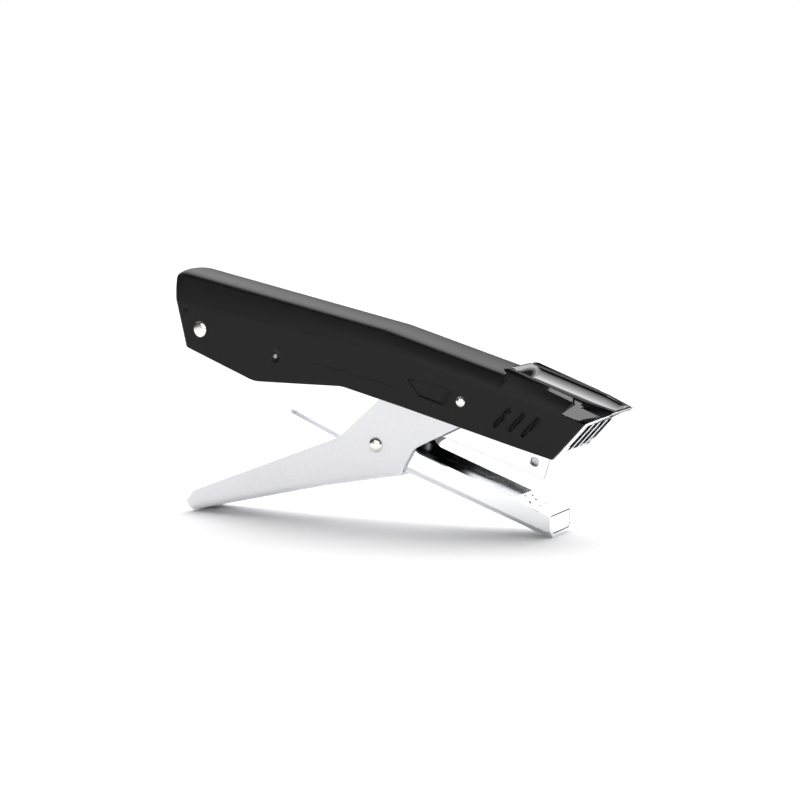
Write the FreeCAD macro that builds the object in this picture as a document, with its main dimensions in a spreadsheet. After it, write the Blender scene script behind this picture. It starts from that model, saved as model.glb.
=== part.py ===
import FreeCAD, Part
import math
import os
import re
import Sketcher
from FreeCAD import Placement, Rotation, Vector

# Plier stapler, millimetres. X runs along the tool towards the jaws, Y across it, Z up.
# The origin lies on the table under the middle of the tool, which stands open on the rear tip
# of the lower handle and the front end of the anvil arm.

doc = FreeCAD.newDocument("plier_stapler")

# ---------------------------------------------------------------------------------------------
# Driving dimensions
# ---------------------------------------------------------------------------------------------

SIZES = {
    # pivots, in side view
    "rear_pivot_x": -78.0,
    "rear_pivot_z": 71.0,
    "main_pivot_x": -2.5,
    "main_pivot_z": 29.5,
    "link_pin_x": 33.5,
    "link_pin_z": 46.0,
    "magazine_pivot_x": -44.0,
    "magazine_pivot_z": 61.0,
    # angles, in degrees
    "magazine_slope": 18.7,
    "cover_close": 6.4,
    "magazine_lift": 3.4,
    # widths across the tool and sheet thicknesses
    "cover_width": 23.2,
    "cover_wall": 1.2,
    "handle_width": 20.2,
    "handle_wall": 1.2,
    "arm_width": 17.2,
    "arm_wall": 1.2,
    "liner_width": 16.0,
    "liner_wall": 0.8,
    "magazine_width": 11.4,
    "magazine_wall": 0.8,
    "mouth_width": 19.0,
    "slide_wall": 1.0,
    "grille_wall": 0.9,
    "seam": 0.3,
    # rivets and pins
    "rear_rivet_radius": 2.2,
    "rear_head_radius": 3.0,
    "main_rivet_radius": 2.0,
    "main_head_radius": 2.8,
    "link_pin_radius": 1.5,
    "link_head_radius": 1.8,
    "magazine_pin_radius": 1.3,
    "head_height": 0.6,
    "main_head_height": 1.0,
    "running_gap": 0.06,
    # magazine, in its own frame: origin on its pivot, X along it
    "magazine_rear": -7.0,
    "magazine_front": 113.8,
    "magazine_bottom": -5.5,
    "magazine_top": 3.5,
    "rail_width": 8.2,
    "rail_wall": 0.7,
    "rail_rear": 12.0,
    "rail_front": 111.2,
    "rail_top": 0.2,
    "staple_crown": 9.5,
    "staple_wire": 0.5,
    "strip_front": 111.3,
    "strip_length": 26.0,
    "pusher_length": 10.0,
    "rod_radius": 0.8,
    "rod_height": -2.6,
    "port_along": 107.9,
    "port_up": -1.0,
    "port_radius": 1.5,
    "pusher_travel": 40.0,
    # anvil
    "plate_rear": 50.4,
    "plate_front": 63.4,
    "plate_thickness": 1.4,
    "closed_gap": 0.25,
}

sheet = doc.addObject("Spreadsheet::Sheet", "Sheet")
for row, (alias, number) in enumerate(SIZES.items(), start=1):
    sheet.set("A%d" % row, alias.replace("_", " "))
    sheet.set("B%d" % row, str(number))
    sheet.setAlias("B%d" % row, alias)
doc.recompute()


def bound(expression):
    """The expression with every size name pointing at its cell."""
    return re.sub(r"[a-z]+(_[a-z]+)*",
                  lambda word: "Sheet." + word[0] if word[0] in SIZES else word[0],
                  str(expression))


def size(expression):
    """The number that an expression on the sheet's sizes stands for."""
    if isinstance(expression, str):
        return float(sheet.evalExpression(bound(expression)))
    return float(expression)


REAR_PIVOT = Vector(size("rear_pivot_x"), 0, size("rear_pivot_z"))
MAIN_PIVOT = Vector(size("main_pivot_x"), 0, size("main_pivot_z"))
LINK_PIN = Vector(size("link_pin_x"), 0, size("link_pin_z"))
MAGAZINE_PIVOT = Vector(size("magazine_pivot_x"), 0, size("magazine_pivot_z"))
ACROSS = Vector(0, 1, 0)


def turned(point, pivot, degrees):
    """Where a point goes when it turns about a pivot line across the tool, front end down."""
    return pivot + Rotation(ACROSS, degrees).multVec(point - pivot)


def in_magazine(along, up):
    """A point of the magazine's own frame, in the tool's frame."""
    local = Rotation(ACROSS, size("magazine_slope")).multVec(Vector(along, 0, up))
    return MAGAZINE_PIVOT + local


def magazine_closed(along, up):
    """The same point with the jaws shut."""
    lifted = turned(in_magazine(along, up), MAGAZINE_PIVOT, -size("magazine_lift"))
    return turned(lifted, REAR_PIVOT, size("cover_close"))


# ---------------------------------------------------------------------------------------------
# Building blocks
# ---------------------------------------------------------------------------------------------

def named(item, label):
    item.Label = label
    return item


def new_body(label):
    return named(doc.addObject("PartDesign::Body", label), label)


def origin_plane(body, role):
    return [plane for plane in body.Origin.OriginFeatures if plane.Role == role][0]


def new_sketch(body, name, role="XZ_Plane"):
    sketch = body.newObject("Sketcher::SketchObject", name)
    sketch.AttachmentSupport = [(origin_plane(body, role), "")]
    sketch.MapMode = "FlatFace"
    return sketch


def bind_point(sketch, geometry, end, corner):
    """Hold one end of a line at the place that the corner's expressions give."""
    for kind, expression in zip(("DistanceX", "DistanceY"), corner):
        if isinstance(expression, str):
            index = sketch.addConstraint(
                Sketcher.Constraint(kind, -1, 1, geometry, end, size(expression)))
            sketch.setExpression("Constraints[%d]" % index, bound(expression))


def rounded_corner(before, corner, after, radius):
    """Ends and middle of the arc that rounds a corner."""
    to_before = (before - corner).normalize()
    to_after = (after - corner).normalize()
    half = to_before.getAngle(to_after) / 2
    bisector = (to_before + to_after).normalize()
    centre = corner + bisector * (radius / math.sin(half))
    setback = radius / math.tan(half)
    return corner + to_before * setback, centre - bisector * radius, corner + to_after * setback


def outline(body, name, corners, role="XZ_Plane"):
    """A closed sketch through corners (across, up) or (across, up, rounding radius)."""
    sketch = new_sketch(body, name, role)
    points = [Vector(size(corner[0]), size(corner[1]), 0) for corner in corners]
    count = len(points)
    ends = []
    for index, corner in enumerate(corners):
        if len(corner) == 3:
            ends.append(rounded_corner(points[index - 1], points[index],
                                       points[(index + 1) % count], size(corner[2])))
        else:
            ends.append((points[index], None, points[index]))
    for index in range(count):
        following = (index + 1) % count
        start = ends[index][2]
        stop = ends[following][0]
        line = sketch.addGeometry(Part.LineSegment(start, stop))
        if len(corners[index]) == 2:
            bind_point(sketch, line, 1, corners[index])
        if ends[following][1] is not None:
            sketch.addGeometry(Part.Arc(*ends[following]))
    return sketch


def pad(body, sketch, width, symmetric=True):
    feature = body.newObject("PartDesign::Pad", sketch.Name + "_pad")
    feature.Profile = sketch
    if symmetric:
        feature.SideType = "Symmetric"
    feature.Length = size(width)
    feature.setExpression("Length", bound(width))
    doc.recompute()
    return feature


def pocket(body, sketch, width):
    """Cut a width centred on the sketch, and make sure that it removes something."""
    before = body.Shape.Volume
    feature = body.newObject("PartDesign::Pocket", sketch.Name + "_pocket")
    feature.Profile = sketch
    feature.SideType = "Symmetric"
    feature.Length = size(width)
    feature.setExpression("Length", bound(width))
    doc.recompute()
    if body.Shape.Volume > before - 0.01:
        raise RuntimeError(sketch.Name + " cuts nothing")
    return feature


def cross_hole(body, name, x, z, radius, width="cover_width + 10"):
    """A round hole right across the tool."""
    sketch = new_sketch(body, name)
    centre = Vector(size(x), size(z), 0)
    circle = sketch.addGeometry(Part.Circle(centre, Vector(0, 0, 1), size(radius)))
    index = sketch.addConstraint(Sketcher.Constraint("Radius", circle, size(radius)))
    sketch.setExpression("Constraints[%d]" % index, bound(radius))
    bind_point(sketch, circle, 3, (x, z))
    return pocket(body, sketch, width)


def box(label, low, high):
    """A block between two corners, each given as three expressions."""
    block = named(doc.addObject("Part::Box", label), label)
    for side, start, stop in zip(("Length", "Width", "Height"), low, high):
        setattr(block, side, size(stop) - size(start))
        block.setExpression(side, "(%s) - (%s)" % (bound(stop), bound(start)))
    block.Placement = Placement(Vector(*[size(start) for start in low]), Rotation())
    for axis, start in zip("xyz", low):
        block.setExpression(".Placement.Base." + axis, bound(start))
    return block


def cross_cylinder(label, x, z, radius, start, stop):
    """A round bar across the tool, from one Y to another."""
    bar = named(doc.addObject("Part::Cylinder", label), label)
    bar.Radius = size(radius)
    bar.setExpression("Radius", bound(radius))
    bar.Height = size(stop) - size(start)
    bar.setExpression("Height", "(%s) - (%s)" % (bound(stop), bound(start)))
    bar.Placement = Placement(Vector(size(x), size(start), size(z)),
                              Rotation(Vector(1, 0, 0), -90))
    return bar


def long_cylinder(label, start, stop, height, radius):
    """A round bar along X on the tool's middle plane."""
    bar = named(doc.addObject("Part::Cylinder", label), label)
    bar.Radius = size(radius)
    bar.setExpression("Radius", bound(radius))
    bar.Height = size(stop) - size(start)
    bar.setExpression("Height", "(%s) - (%s)" % (bound(stop), bound(start)))
    bar.Placement = Placement(Vector(size(start), 0, size(height)), Rotation(ACROSS, 90))
    return bar


def joined(label, pieces):
    fuse = named(doc.addObject("Part::MultiFuse", label), label)
    fuse.Shapes = pieces
    fuse.Refine = True
    doc.recompute()
    return fuse


def less(label, base, tool):
    cut = named(doc.addObject("Part::Cut", label), label)
    cut.Base = base
    cut.Tool = tool
    doc.recompute()
    return cut


def rivet(label, x, z, radius, half_width, head_radius, head_height):
    """A shank across the tool with a head outside each wall."""
    shank = cross_cylinder(label + "_shank", x, z, radius,
                           "-(%s)" % half_width, half_width)
    near = cross_cylinder(label + "_near_head", x, z, head_radius,
                          "-(%s) - %s" % (half_width, head_height), "-(%s)" % half_width)
    far = cross_cylinder(label + "_far_head", x, z, head_radius,
                         half_width, "%s + %s" % (half_width, head_height))
    return joined(label, [shank, near, far])


def ring(label, x, z, outer, inner, start, stop):
    """A tube across the tool."""
    solid = cross_cylinder(label + "_outer", x, z, outer, start, stop)
    hollow = cross_cylinder(label + "_bore", x, z, inner,
                            "(%s) - 1" % start, "(%s) + 1" % stop)
    return less(label, solid, hollow)


def place_in_magazine(item):
    frame = Placement(MAGAZINE_PIVOT, Rotation(ACROSS, size("magazine_slope")))
    item.Placement = frame.multiply(item.Placement)
    return item


sub_parts = []


def keep(item, *others):
    sub_parts.append(item)
    sub_parts.extend(others)


# ---------------------------------------------------------------------------------------------
# Anvil arm: a steel channel, open at the top, from the rear rivet to the clincher plate
# ---------------------------------------------------------------------------------------------

CLINCH = magazine_closed(size("rail_front + 0.9"), size("magazine_bottom"))
PLATE_SLOPE = math.tan(math.radians(
    size("magazine_slope") + size("cover_close") - size("magazine_lift")))


TABS = [(51.4, 53.2), (56.6, 60.6)]   # where the plate's tabs pass through the arm's walls
TAB_GAP = 0.1


def plate_top(x):
    """Height of the clincher plate's face, which lies along the shut magazine."""
    return CLINCH.z - size("closed_gap") - (x - CLINCH.x) * PLATE_SLOPE


def arm_outline():
    return [
        (-84.5, 58.6),
        (-14.0, 27.4, 60.0),
        (62.8, 0.0),
        (64.6, 0.0, 0.8),
        ("plate_front + 0.6", plate_top(size("plate_front + 0.6")) - 0.05),
        ("plate_rear - 1", plate_top(size("plate_rear - 1")) - 0.05),
        (13.0, 27.2, 8.0),
        (7.0, 36.0),
        (3.0, 52.0, 3.0),
        (-14.0, 53.0),
        (-48.0, 53.6),
        (-57.0, 57.6, 5.0),
        (-69.0, 66.0, 6.0),
        (-70.5, 78.2, 6.0),
        (-85.2, 78.2, 6.0),
        (-86.6, 64.5),
    ]


def anvil_arm():
    arm = new_body("anvil_arm")
    pad(arm, outline(arm, "arm_side", arm_outline()), "arm_width")
    hollow = [
        (-90.0, 62.4),
        (-84.0, 59.8),
        (-13.6, 28.7, 60.0),
        (62.6, 1.3),
        (70.0, 1.3),
        (70.0, 40.0),
        (-90.0, 90.0),
    ]
    pocket(arm, outline(arm, "arm_inside", hollow), "arm_width - 2*arm_wall")
    cross_hole(arm, "arm_rear_hole", "rear_pivot_x", "rear_pivot_z", "rear_rivet_radius")
    cross_hole(arm, "arm_main_hole", "main_pivot_x", "main_pivot_z", "main_rivet_radius")
    for number, (start, stop) in enumerate(TABS):
        rear = start - TAB_GAP
        front = stop + TAB_GAP
        depth = size("plate_thickness") + TAB_GAP
        notch = [
            (rear, plate_top(rear) - depth),
            (front, plate_top(front) - depth),
            (front, plate_top(front) + 2.0),
            (rear, plate_top(rear) + 2.0),
        ]
        pocket(arm, outline(arm, "arm_notch_%d" % number, notch), "arm_width + 4")
    keep(arm)


def anvil_plate():
    """The clincher plate lies flush between the arm's walls; its front end folds down."""
    plate = new_body("anvil_plate")
    rear = size("plate_rear")
    front = size("plate_front")
    thick = size("plate_thickness")
    side = [
        ("plate_rear", plate_top(rear)),
        ("plate_front", plate_top(front), 1.0),
        (front + 0.2, 1.9),
        (front - 1.0, 1.9),
        (front - 1.2, plate_top(front - 1.2) - thick),
        ("plate_rear", plate_top(rear) - thick),
    ]
    pad(plate, outline(plate, "plate_side", side), "arm_width - 2*arm_wall - 0.1")
    for number, (start, stop) in enumerate(TABS):
        tab = [
            (start, plate_top(start)),
            (stop, plate_top(stop)),
            (stop, plate_top(stop) - thick),
            (start, plate_top(start) - thick),
        ]
        pad(plate, outline(plate, "plate_tab_%d" % number, tab), "arm_width")
    # two dished pockets turn the staple's legs inwards
    for number, across in enumerate((-2.9, 2.9)):
        groove = new_sketch(plate, "clinch_groove_%d" % number, "XY_Plane")
        bow = 1.1
        for start, stop in ((-1, 1), (1, -1)):
            groove.addGeometry(Part.Arc(
                Vector(CLINCH.x, across - 1.9 * stop, 0),
                Vector(CLINCH.x + bow * start, across, 0),
                Vector(CLINCH.x, across - 1.9 * start, 0)))
        feature = plate.newObject("PartDesign::Pocket", "clinch_pocket_%d" % number)
        feature.Profile = groove
        feature.Reversed = True
        feature.Length = 40.0
        groove.AttachmentOffset = Placement(Vector(0, 0, plate_top(CLINCH.x) - 0.6), Rotation())
        doc.recompute()
    keep(plate)


# ---------------------------------------------------------------------------------------------
# Rivets and bushes on the arm
# ---------------------------------------------------------------------------------------------

def arm_pivots():
    keep(rivet("rear_pivot_rivet", "rear_pivot_x", "rear_pivot_z", "rear_rivet_radius - 0.02",
               "cover_width/2 + 0.05", "rear_head_radius", "head_height"))
    keep(ring("rear_pivot_bush", "rear_pivot_x", "rear_pivot_z", 3.4, "rear_rivet_radius",
              "-(arm_width/2 - arm_wall - 0.05)", "arm_width/2 - arm_wall - 0.05"))
    washers = []
    gap_start = "arm_width/2 + 0.05"
    gap_stop = "cover_width/2 - cover_wall - 0.1"
    washers.append(ring("rear_washer_far", "rear_pivot_x", "rear_pivot_z", 4.6,
                        "rear_rivet_radius", gap_start, gap_stop))
    washers.append(ring("rear_washer_near", "rear_pivot_x", "rear_pivot_z", 4.6,
                        "rear_rivet_radius", "-(%s)" % gap_stop, "-(%s)" % gap_start))
    group = named(doc.addObject("Part::Compound", "rear_washers"), "rear_washers")
    group.Links = washers
    keep(group)
    keep(rivet("main_pivot_rivet", "main_pivot_x", "main_pivot_z", "main_rivet_radius - 0.02",
               "handle_width/2 + 0.05", "main_head_radius", "main_head_height"))
    keep(ring("main_pivot_bush", "main_pivot_x", "main_pivot_z", 3.2, "main_rivet_radius",
              "-(arm_width/2 - arm_wall - 0.05)", "arm_width/2 - arm_wall - 0.05"))


# ---------------------------------------------------------------------------------------------
# Lower handle: a steel channel whose cheeks carry the slot for the link pin
# ---------------------------------------------------------------------------------------------

def pin_track():
    """The link pin's path in the lower handle, and the handle's angle when shut."""
    arm_at_rest = LINK_PIN - MAIN_PIVOT
    closed_pin = turned(LINK_PIN, REAR_PIVOT, size("cover_close"))
    closed = math.degrees(arm_at_rest.getAngle(closed_pin - MAIN_PIVOT))
    path = []
    for share in (0.0, 0.5, 1.0):
        pin = turned(LINK_PIN, REAR_PIVOT, size("cover_close") * share)
        path.append(turned(pin, MAIN_PIVOT, -closed * share))
    return path, closed


def slot_sketch(body, name, path, radius):
    """A curved slot of the given half width along an arc through three points."""
    start, middle, stop = [Vector(point.x, point.z, 0) for point in path]
    centre = Part.Arc(start, middle, stop).toShape().Curve.Center
    sketch = new_sketch(body, name)

    def beside(point, distance):
        outward = (point - centre).normalize()
        return point + outward * distance

    run = (stop - start).normalize()
    sides = [[beside(point, offset) for point in (start, middle, stop)]
             for offset in (radius, -radius)]
    sketch.addGeometry(Part.Arc(*sides[0]))
    sketch.addGeometry(Part.Arc(sides[0][2], stop + run * radius, sides[1][2]))
    sketch.addGeometry(Part.Arc(*reversed(sides[1])))
    sketch.addGeometry(Part.Arc(sides[1][0], start - run * radius, sides[0][0]))
    return sketch


def lower_handle():
    handle = new_body("lower_handle")
    side = [
        (-90.6, -0.16, 0.8),
        (-28.0, 12.8, 120.0),
        (6.0, 18.3),
        (7.6, 20.3),
        (13.0, 28.6, 6.0),
        (38.5, 40.2, 5.5),
        (38.5, 52.2, 6.0),
        (9.0, 53.2, 9.0),
        (-18.0, 31.8, 16.0),
        (-87.0, 8.4, 2.2),
        (-91.0, 4.0),
    ]
    pad(handle, outline(handle, "handle_side", side), "handle_width")
    inside = [
        (-89.2, 1.75),
        (-28.2, 14.0, 120.0),
        (20.0, 21.2),
        (50.0, 21.2),
        (50.0, 70.0),
        (-89.2, 70.0),
    ]
    pocket(handle, outline(handle, "handle_inside", inside), "handle_width - 2*handle_wall")
    cross_hole(handle, "handle_pivot_hole", "main_pivot_x", "main_pivot_z",
               "main_rivet_radius - 0.02 + running_gap")
    path, _ = pin_track()
    pocket(handle, slot_sketch(handle, "handle_slot", path, size("link_pin_radius") + 0.15),
           "handle_width + 4")
    keep(handle)


# ---------------------------------------------------------------------------------------------
# Cover: the upper handle, a deep drawn steel shell with a bevelled upper edge
# ---------------------------------------------------------------------------------------------

NOSE_LOW = (67.3, 27.4)      # where the cover's front edge starts
NOSE_KNEE = (79.6, 39.3)     # where the front face turns out into the beak
BEAK_TIP = (89.1, 43.5)
BEAK_HALF = 7.0              # half width of the beak at its tip
BEAK_ROOT = 80.0             # where the beak starts to narrow
SEAM_KNEE = (71.0, 42.6)     # where the loading slide's cheek starts
SEAM_TOP = (75.0, 46.4)      # where its cheek meets its skirt
SKIRT_REAR = (52.2, 56.3)    # where its skirt runs out at the rear


TOP_LINE = [(-95.0, 96.4), (3.0, 72.0), (50.0, 56.7), (80.0, 47.6)]
SLIDE_LINE = [(50.4, 57.8), (88.8, 43.9)]
SLIDE_FALL = (SLIDE_LINE[0][1] - SLIDE_LINE[1][1]) / (SLIDE_LINE[1][0] - SLIDE_LINE[0][0])


def cover_surround():
    """Everything outside the cover in side view, which is cut away from its raw bar."""
    return [
        (-120.0, -20.0),
        (-120.0, 120.0),
        (-86.5, 120.0),
        (-86.5, 94.2),
        (-90.3, 92.1),
        (-91.0, 89.6),
        (-86.5, 64.8, 1.5),
        (-54.0, 51.6, 14.0),
        (-15.0, 50.4, 12.0),
        (9.0, 43.9, 40.0),
        (57.7, 30.0),
        NOSE_LOW,
        (79.3, 39.6),
        SEAM_KNEE,
        SEAM_TOP,
        SKIRT_REAR,
        (50.0, 57.6),
        (50.0, 120.0),
        (130.0, 120.0),
        (130.0, -20.0),
    ]


def cover():
    shell = new_body("cover")
    half = size("cover_width") / 2
    bevel = 2.6
    sections = []
    for number, (station, top) in enumerate(TOP_LINE):
        section = new_sketch(shell, "cover_section_%d" % number, "YZ_Plane")
        section.AttachmentOffset = Placement(Vector(0, 0, station), Rotation())
        ring_points = [(-half, 5.0), (half, 5.0), (half, top - bevel), (half - bevel, top),
                       (bevel - half, top), (-half, top - bevel)]
        for index, point in enumerate(ring_points):
            following = ring_points[(index + 1) % len(ring_points)]
            section.addGeometry(Part.LineSegment(Vector(*point, 0), Vector(*following, 0)))
        sections.append(section)
    raw = shell.newObject("PartDesign::AdditiveLoft", "cover_raw")
    raw.Profile = sections[0]
    raw.Sections = sections[1:]
    raw.Ruled = True
    doc.recompute()
    pocket(shell, outline(shell, "cover_surround", cover_surround()), "cover_width + 20")
    inside = [
        (-90.2, 74.0),
        (-90.2, 90.2, 3.0),
        (2.8, 70.3),
        (50.0, 55.2),
        (90.0, 43.0),
        (90.0, 10.0),
        (-100.0, 10.0),
        (-100.0, 74.0),
    ]
    pocket(shell, outline(shell, "cover_inside", inside), "cover_width - 2*cover_wall - 1.8")
    lower = [
        (-88.0, 74.0),
        (-88.0, 88.2, 3.0),
        (2.6, 67.7),
        (49.8, 52.7),
        (90.0, 40.6),
        (90.0, 10.0),
        (-100.0, 10.0),
        (-100.0, 74.0),
    ]
    pocket(shell, outline(shell, "cover_lower_inside", lower), "cover_width - 2*cover_wall")
    mouth = [
        (49.0, 80.0),
        (49.0, 52.0),
        (95.0, 38.0),
        (95.0, 80.0),
    ]
    pocket(shell, outline(shell, "cover_mouth", mouth), "mouth_width")
    cross_hole(shell, "cover_rear_hole", "rear_pivot_x", "rear_pivot_z",
               "rear_rivet_radius - 0.02 + running_gap")
    cross_hole(shell, "cover_link_hole", "link_pin_x", "link_pin_z", "link_pin_radius")
    cross_hole(shell, "cover_magazine_hole", "magazine_pivot_x", "magazine_pivot_z",
               "magazine_pin_radius")
    keep(shell)


def cover_pins():
    keep(rivet("link_pin", "link_pin_x", "link_pin_z", "link_pin_radius - 0.02",
               "cover_width/2 + 0.02", "link_head_radius", "head_height"))
    keep(cross_cylinder("magazine_pivot_pin", "magazine_pivot_x", "magazine_pivot_z",
                        "magazine_pin_radius - 0.01", "-cover_width/2 + 0.4",
                        "cover_width/2 - 0.4"))


def nose_liner():
    """A channel inside the nose, hung on the link pin, that carries the driver block."""
    liner = new_body("nose_liner")
    side = [
        (25.5, 38.0, 2.0),
        (56.3, 29.2, 1.4),
        (57.4, 34.0, 1.5),
        (66.6, 37.2),
        (70.6, 41.4),
        (70.6, 46.0, 2.0),
        (25.5, 59.6, 3.0),
    ]
    pad(liner, outline(liner, "liner_side", side), "liner_width")
    inside = [
        (20.0, 20.0),
        (80.0, 20.0),
        (80.0, 42.4),
        (20.0, 60.2),
    ]
    pocket(liner, outline(liner, "liner_inside", inside), "liner_width - 2*liner_wall")
    cross_hole(liner, "liner_pin_hole", "link_pin_x", "link_pin_z", "link_pin_radius")
    window = [
        (51.0, 70.0),
        (51.0, 47.4),
        (62.8, 43.9),
        (62.8, 70.0),
    ]
    pocket(liner, outline(liner, "liner_window", window), "liner_width - 2*liner_wall")
    keep(liner)


def driver():
    """The blade that pushes one staple out, and the block that holds it."""
    blade = named(doc.addObject("Part::Box", "driver_blade"), "driver_blade")
    blade.Length = 0.4
    blade.Width = 9.3
    blade.Height = 15.0
    foot = in_magazine(111.9, 1.0)
    blade.Placement = Placement(Vector(foot.x, -9.3 / 2, foot.z),
                                Rotation(ACROSS, size("magazine_slope")))
    block = new_body("driver_block")
    side = [
        (63.6, 36.6),
        (68.4, 37.6),
        (70.2, 40.0),
        (70.2, 42.0),
        (63.6, 43.4),
    ]
    pad(block, outline(block, "block_side", side), "liner_width - 2*liner_wall - 0.04")
    slot = []
    for along, up in ((111.9, 0.0), (112.3, 0.0), (112.3, 16.0), (111.9, 16.0)):
        corner = in_magazine(along, up)
        slot.append((corner.x, corner.z))
    pocket(block, outline(block, "block_slot", slot), 9.3)
    keep(blade, block)


# ---------------------------------------------------------------------------------------------
# Loading slide: the gloss black cap with the thumb trough, and the slotted front it carries
# ---------------------------------------------------------------------------------------------

def under_slide(x, depth):
    """A corner at a depth below the slide's top line."""
    return x, SLIDE_LINE[0][1] - (x - SLIDE_LINE[0][0]) * SLIDE_FALL - depth


def narrow_beak(body, name):
    """Cut the beak's two corners off in plan, from its root to its tip."""
    half = size("cover_width") / 2
    for side in (-1, 1):
        corner = new_sketch(body, "%s_%s_corner" % (name, "near" if side < 0 else "far"),
                            "XY_Plane")
        points = [(BEAK_ROOT, side * half), (BEAK_TIP[0], side * BEAK_HALF),
                  (BEAK_TIP[0] + 5.0, side * BEAK_HALF), (BEAK_TIP[0] + 5.0, side * (half + 1.0)),
                  (BEAK_ROOT, side * (half + 1.0))]
        for index, point in enumerate(points):
            following = points[(index + 1) % len(points)]
            corner.addGeometry(Part.LineSegment(Vector(*point, 0), Vector(*following, 0)))
        cut_through(body, corner)


def cut_through(body, sketch):
    """Cut a sketch of the XY plane out of the whole height."""
    feature = body.newObject("PartDesign::Pocket", sketch.Name + "_cut")
    feature.Profile = sketch
    feature.Type = "ThroughAll"
    feature.SideType = "Symmetric"
    doc.recompute()


def loading_slide():
    slide = new_body("loading_slide")
    gap = size("seam")
    trough_depth = 0.9
    shell = trough_depth + size("slide_wall")
    side = [
        SLIDE_LINE[0],
        SLIDE_LINE[1],
        (BEAK_TIP[0] - 0.6, BEAK_TIP[1] - 0.1),
        (79.7, 39.9),
        (SEAM_KNEE[0] + gap, SEAM_KNEE[1] + 0.25),
        (SEAM_TOP[0] + gap, SEAM_TOP[1] + 0.15),
        (SKIRT_REAR[0] + 0.2, SKIRT_REAR[1] + gap),
        (50.4, 57.1),
    ]
    pad(slide, outline(slide, "slide_side", side), "cover_width")
    hollow = [
        (53.5, 50.0),
        under_slide(53.5, shell),
        under_slide(85.0, shell),
        (85.0, 38.0),
        (60.0, 38.0),
    ]
    pocket(slide, outline(slide, "slide_hollow", hollow), "cover_width - 2*slide_wall")
    trough = [
        (58.5, 60.0),
        (*under_slide(60.5, trough_depth), 1.5),
        (*under_slide(82.5, trough_depth), 4.0),
        (84.5, 51.0),
    ]
    pocket(slide, outline(slide, "slide_trough", trough), 12.0)
    lip = new_sketch(slide, "slide_lip")
    lip.addGeometry(Part.Circle(Vector(51.4, 56.9, 0), Vector(0, 0, 1), 1.3))
    pad(slide, lip, "mouth_width - 1")
    narrow_beak(slide, "slide")
    keep(slide)


def slide_guides():
    """Two strips under the slide that run along the inner faces of the cover's walls."""
    strips = []
    for number, side in enumerate((-1, 1)):
        strip = named(doc.addObject("Part::Box", "guide_strip_%d" % number),
                      "guide_strip_%d" % number)
        strip.Length = 18.0
        strip.Width = 0.8
        strip.Height = 4.2
        slope = math.degrees(math.atan(SLIDE_FALL))
        strip.Placement = Placement(Vector(55.0, side * 9.0 - 0.4, 49.5),
                                    Rotation(ACROSS, slope))
        strips.append(strip)
    group = named(doc.addObject("Part::Compound", "slide_guides"), "slide_guides")
    group.Links = strips
    doc.recompute()
    keep(group)


def front_grille():
    """A bright plate with four long slots that closes the nose from below."""
    grille = new_body("front_grille")
    wall = size("grille_wall")
    side = [
        (NOSE_LOW[0] + 0.4, NOSE_LOW[1]),
        (NOSE_LOW[0] + 1.6, NOSE_LOW[1]),
        (NOSE_KNEE[0] + 0.55, NOSE_KNEE[1] - 0.3),
        (BEAK_TIP[0], BEAK_TIP[1] - 0.3),
        (BEAK_TIP[0] - 0.35, BEAK_TIP[1] - 0.05),
        (NOSE_KNEE[0] + 0.2, NOSE_KNEE[1] + 0.5),
    ]
    pad(grille, outline(grille, "grille_side", side), "cover_width")
    slot_count = 4
    pitch = (size("cover_width") - 2 * wall) / slot_count
    for number in range(slot_count):
        middle = (number - (slot_count - 1) / 2) * pitch
        slot = new_sketch(grille, "grille_slot_%d" % number, "XY_Plane")
        half = pitch / 2 - 0.4
        low = 70.2
        high = 85.6 if abs(middle) < pitch else 80.6
        corners = [(low, middle - half), (high, middle - half),
                   (high, middle + half), (low, middle + half)]
        for index, corner in enumerate(corners):
            following = corners[(index + 1) % 4]
            slot.addGeometry(Part.LineSegment(Vector(*corner, 0), Vector(*following, 0)))
        cut_through(grille, slot)
    narrow_beak(grille, "grille")
    keep(grille)


# ---------------------------------------------------------------------------------------------
# Magazine, in its own frame on its pivot
# ---------------------------------------------------------------------------------------------

def magazine():
    outer = box("magazine_outer", ("magazine_rear", "-magazine_width/2", "magazine_bottom"),
                ("magazine_front - 0.8", "magazine_width/2", "magazine_top"))
    inner = box("magazine_hollow",
                ("magazine_rear - 1", "-magazine_width/2 + magazine_wall",
                 "magazine_bottom + magazine_wall"),
                ("magazine_front + 1", "magazine_width/2 - magazine_wall", "magazine_top + 1"))
    mouth = box("magazine_mouth",
                ("rail_front - 0.4", "-magazine_width/2 + magazine_wall", "magazine_bottom - 1"),
                ("magazine_front + 1", "magazine_width/2 - magazine_wall", "magazine_top"))
    bore = cross_cylinder("magazine_bore", 0, 0, "magazine_pin_radius - 0.01 + running_gap",
                          "-magazine_width", "magazine_width")
    port = cross_cylinder("magazine_port", "port_along", "port_up", "port_radius",
                          "-magazine_width", "magazine_width")
    channel = less("magazine", outer, joined("magazine_cuts", [inner, mouth, bore, port]))
    keep(place_in_magazine(channel))

    face = box("front_face", ("magazine_front - 0.78", "-magazine_width/2", "magazine_bottom"),
               ("magazine_front", "magazine_width/2", "magazine_top"))
    notch = box("front_notch", ("magazine_front - 2", -1.2, "magazine_bottom - 1"),
                ("magazine_front + 1", 1.2, "magazine_bottom + 1.6"))
    keep(place_in_magazine(less("magazine_front_plate", face, notch)))


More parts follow.
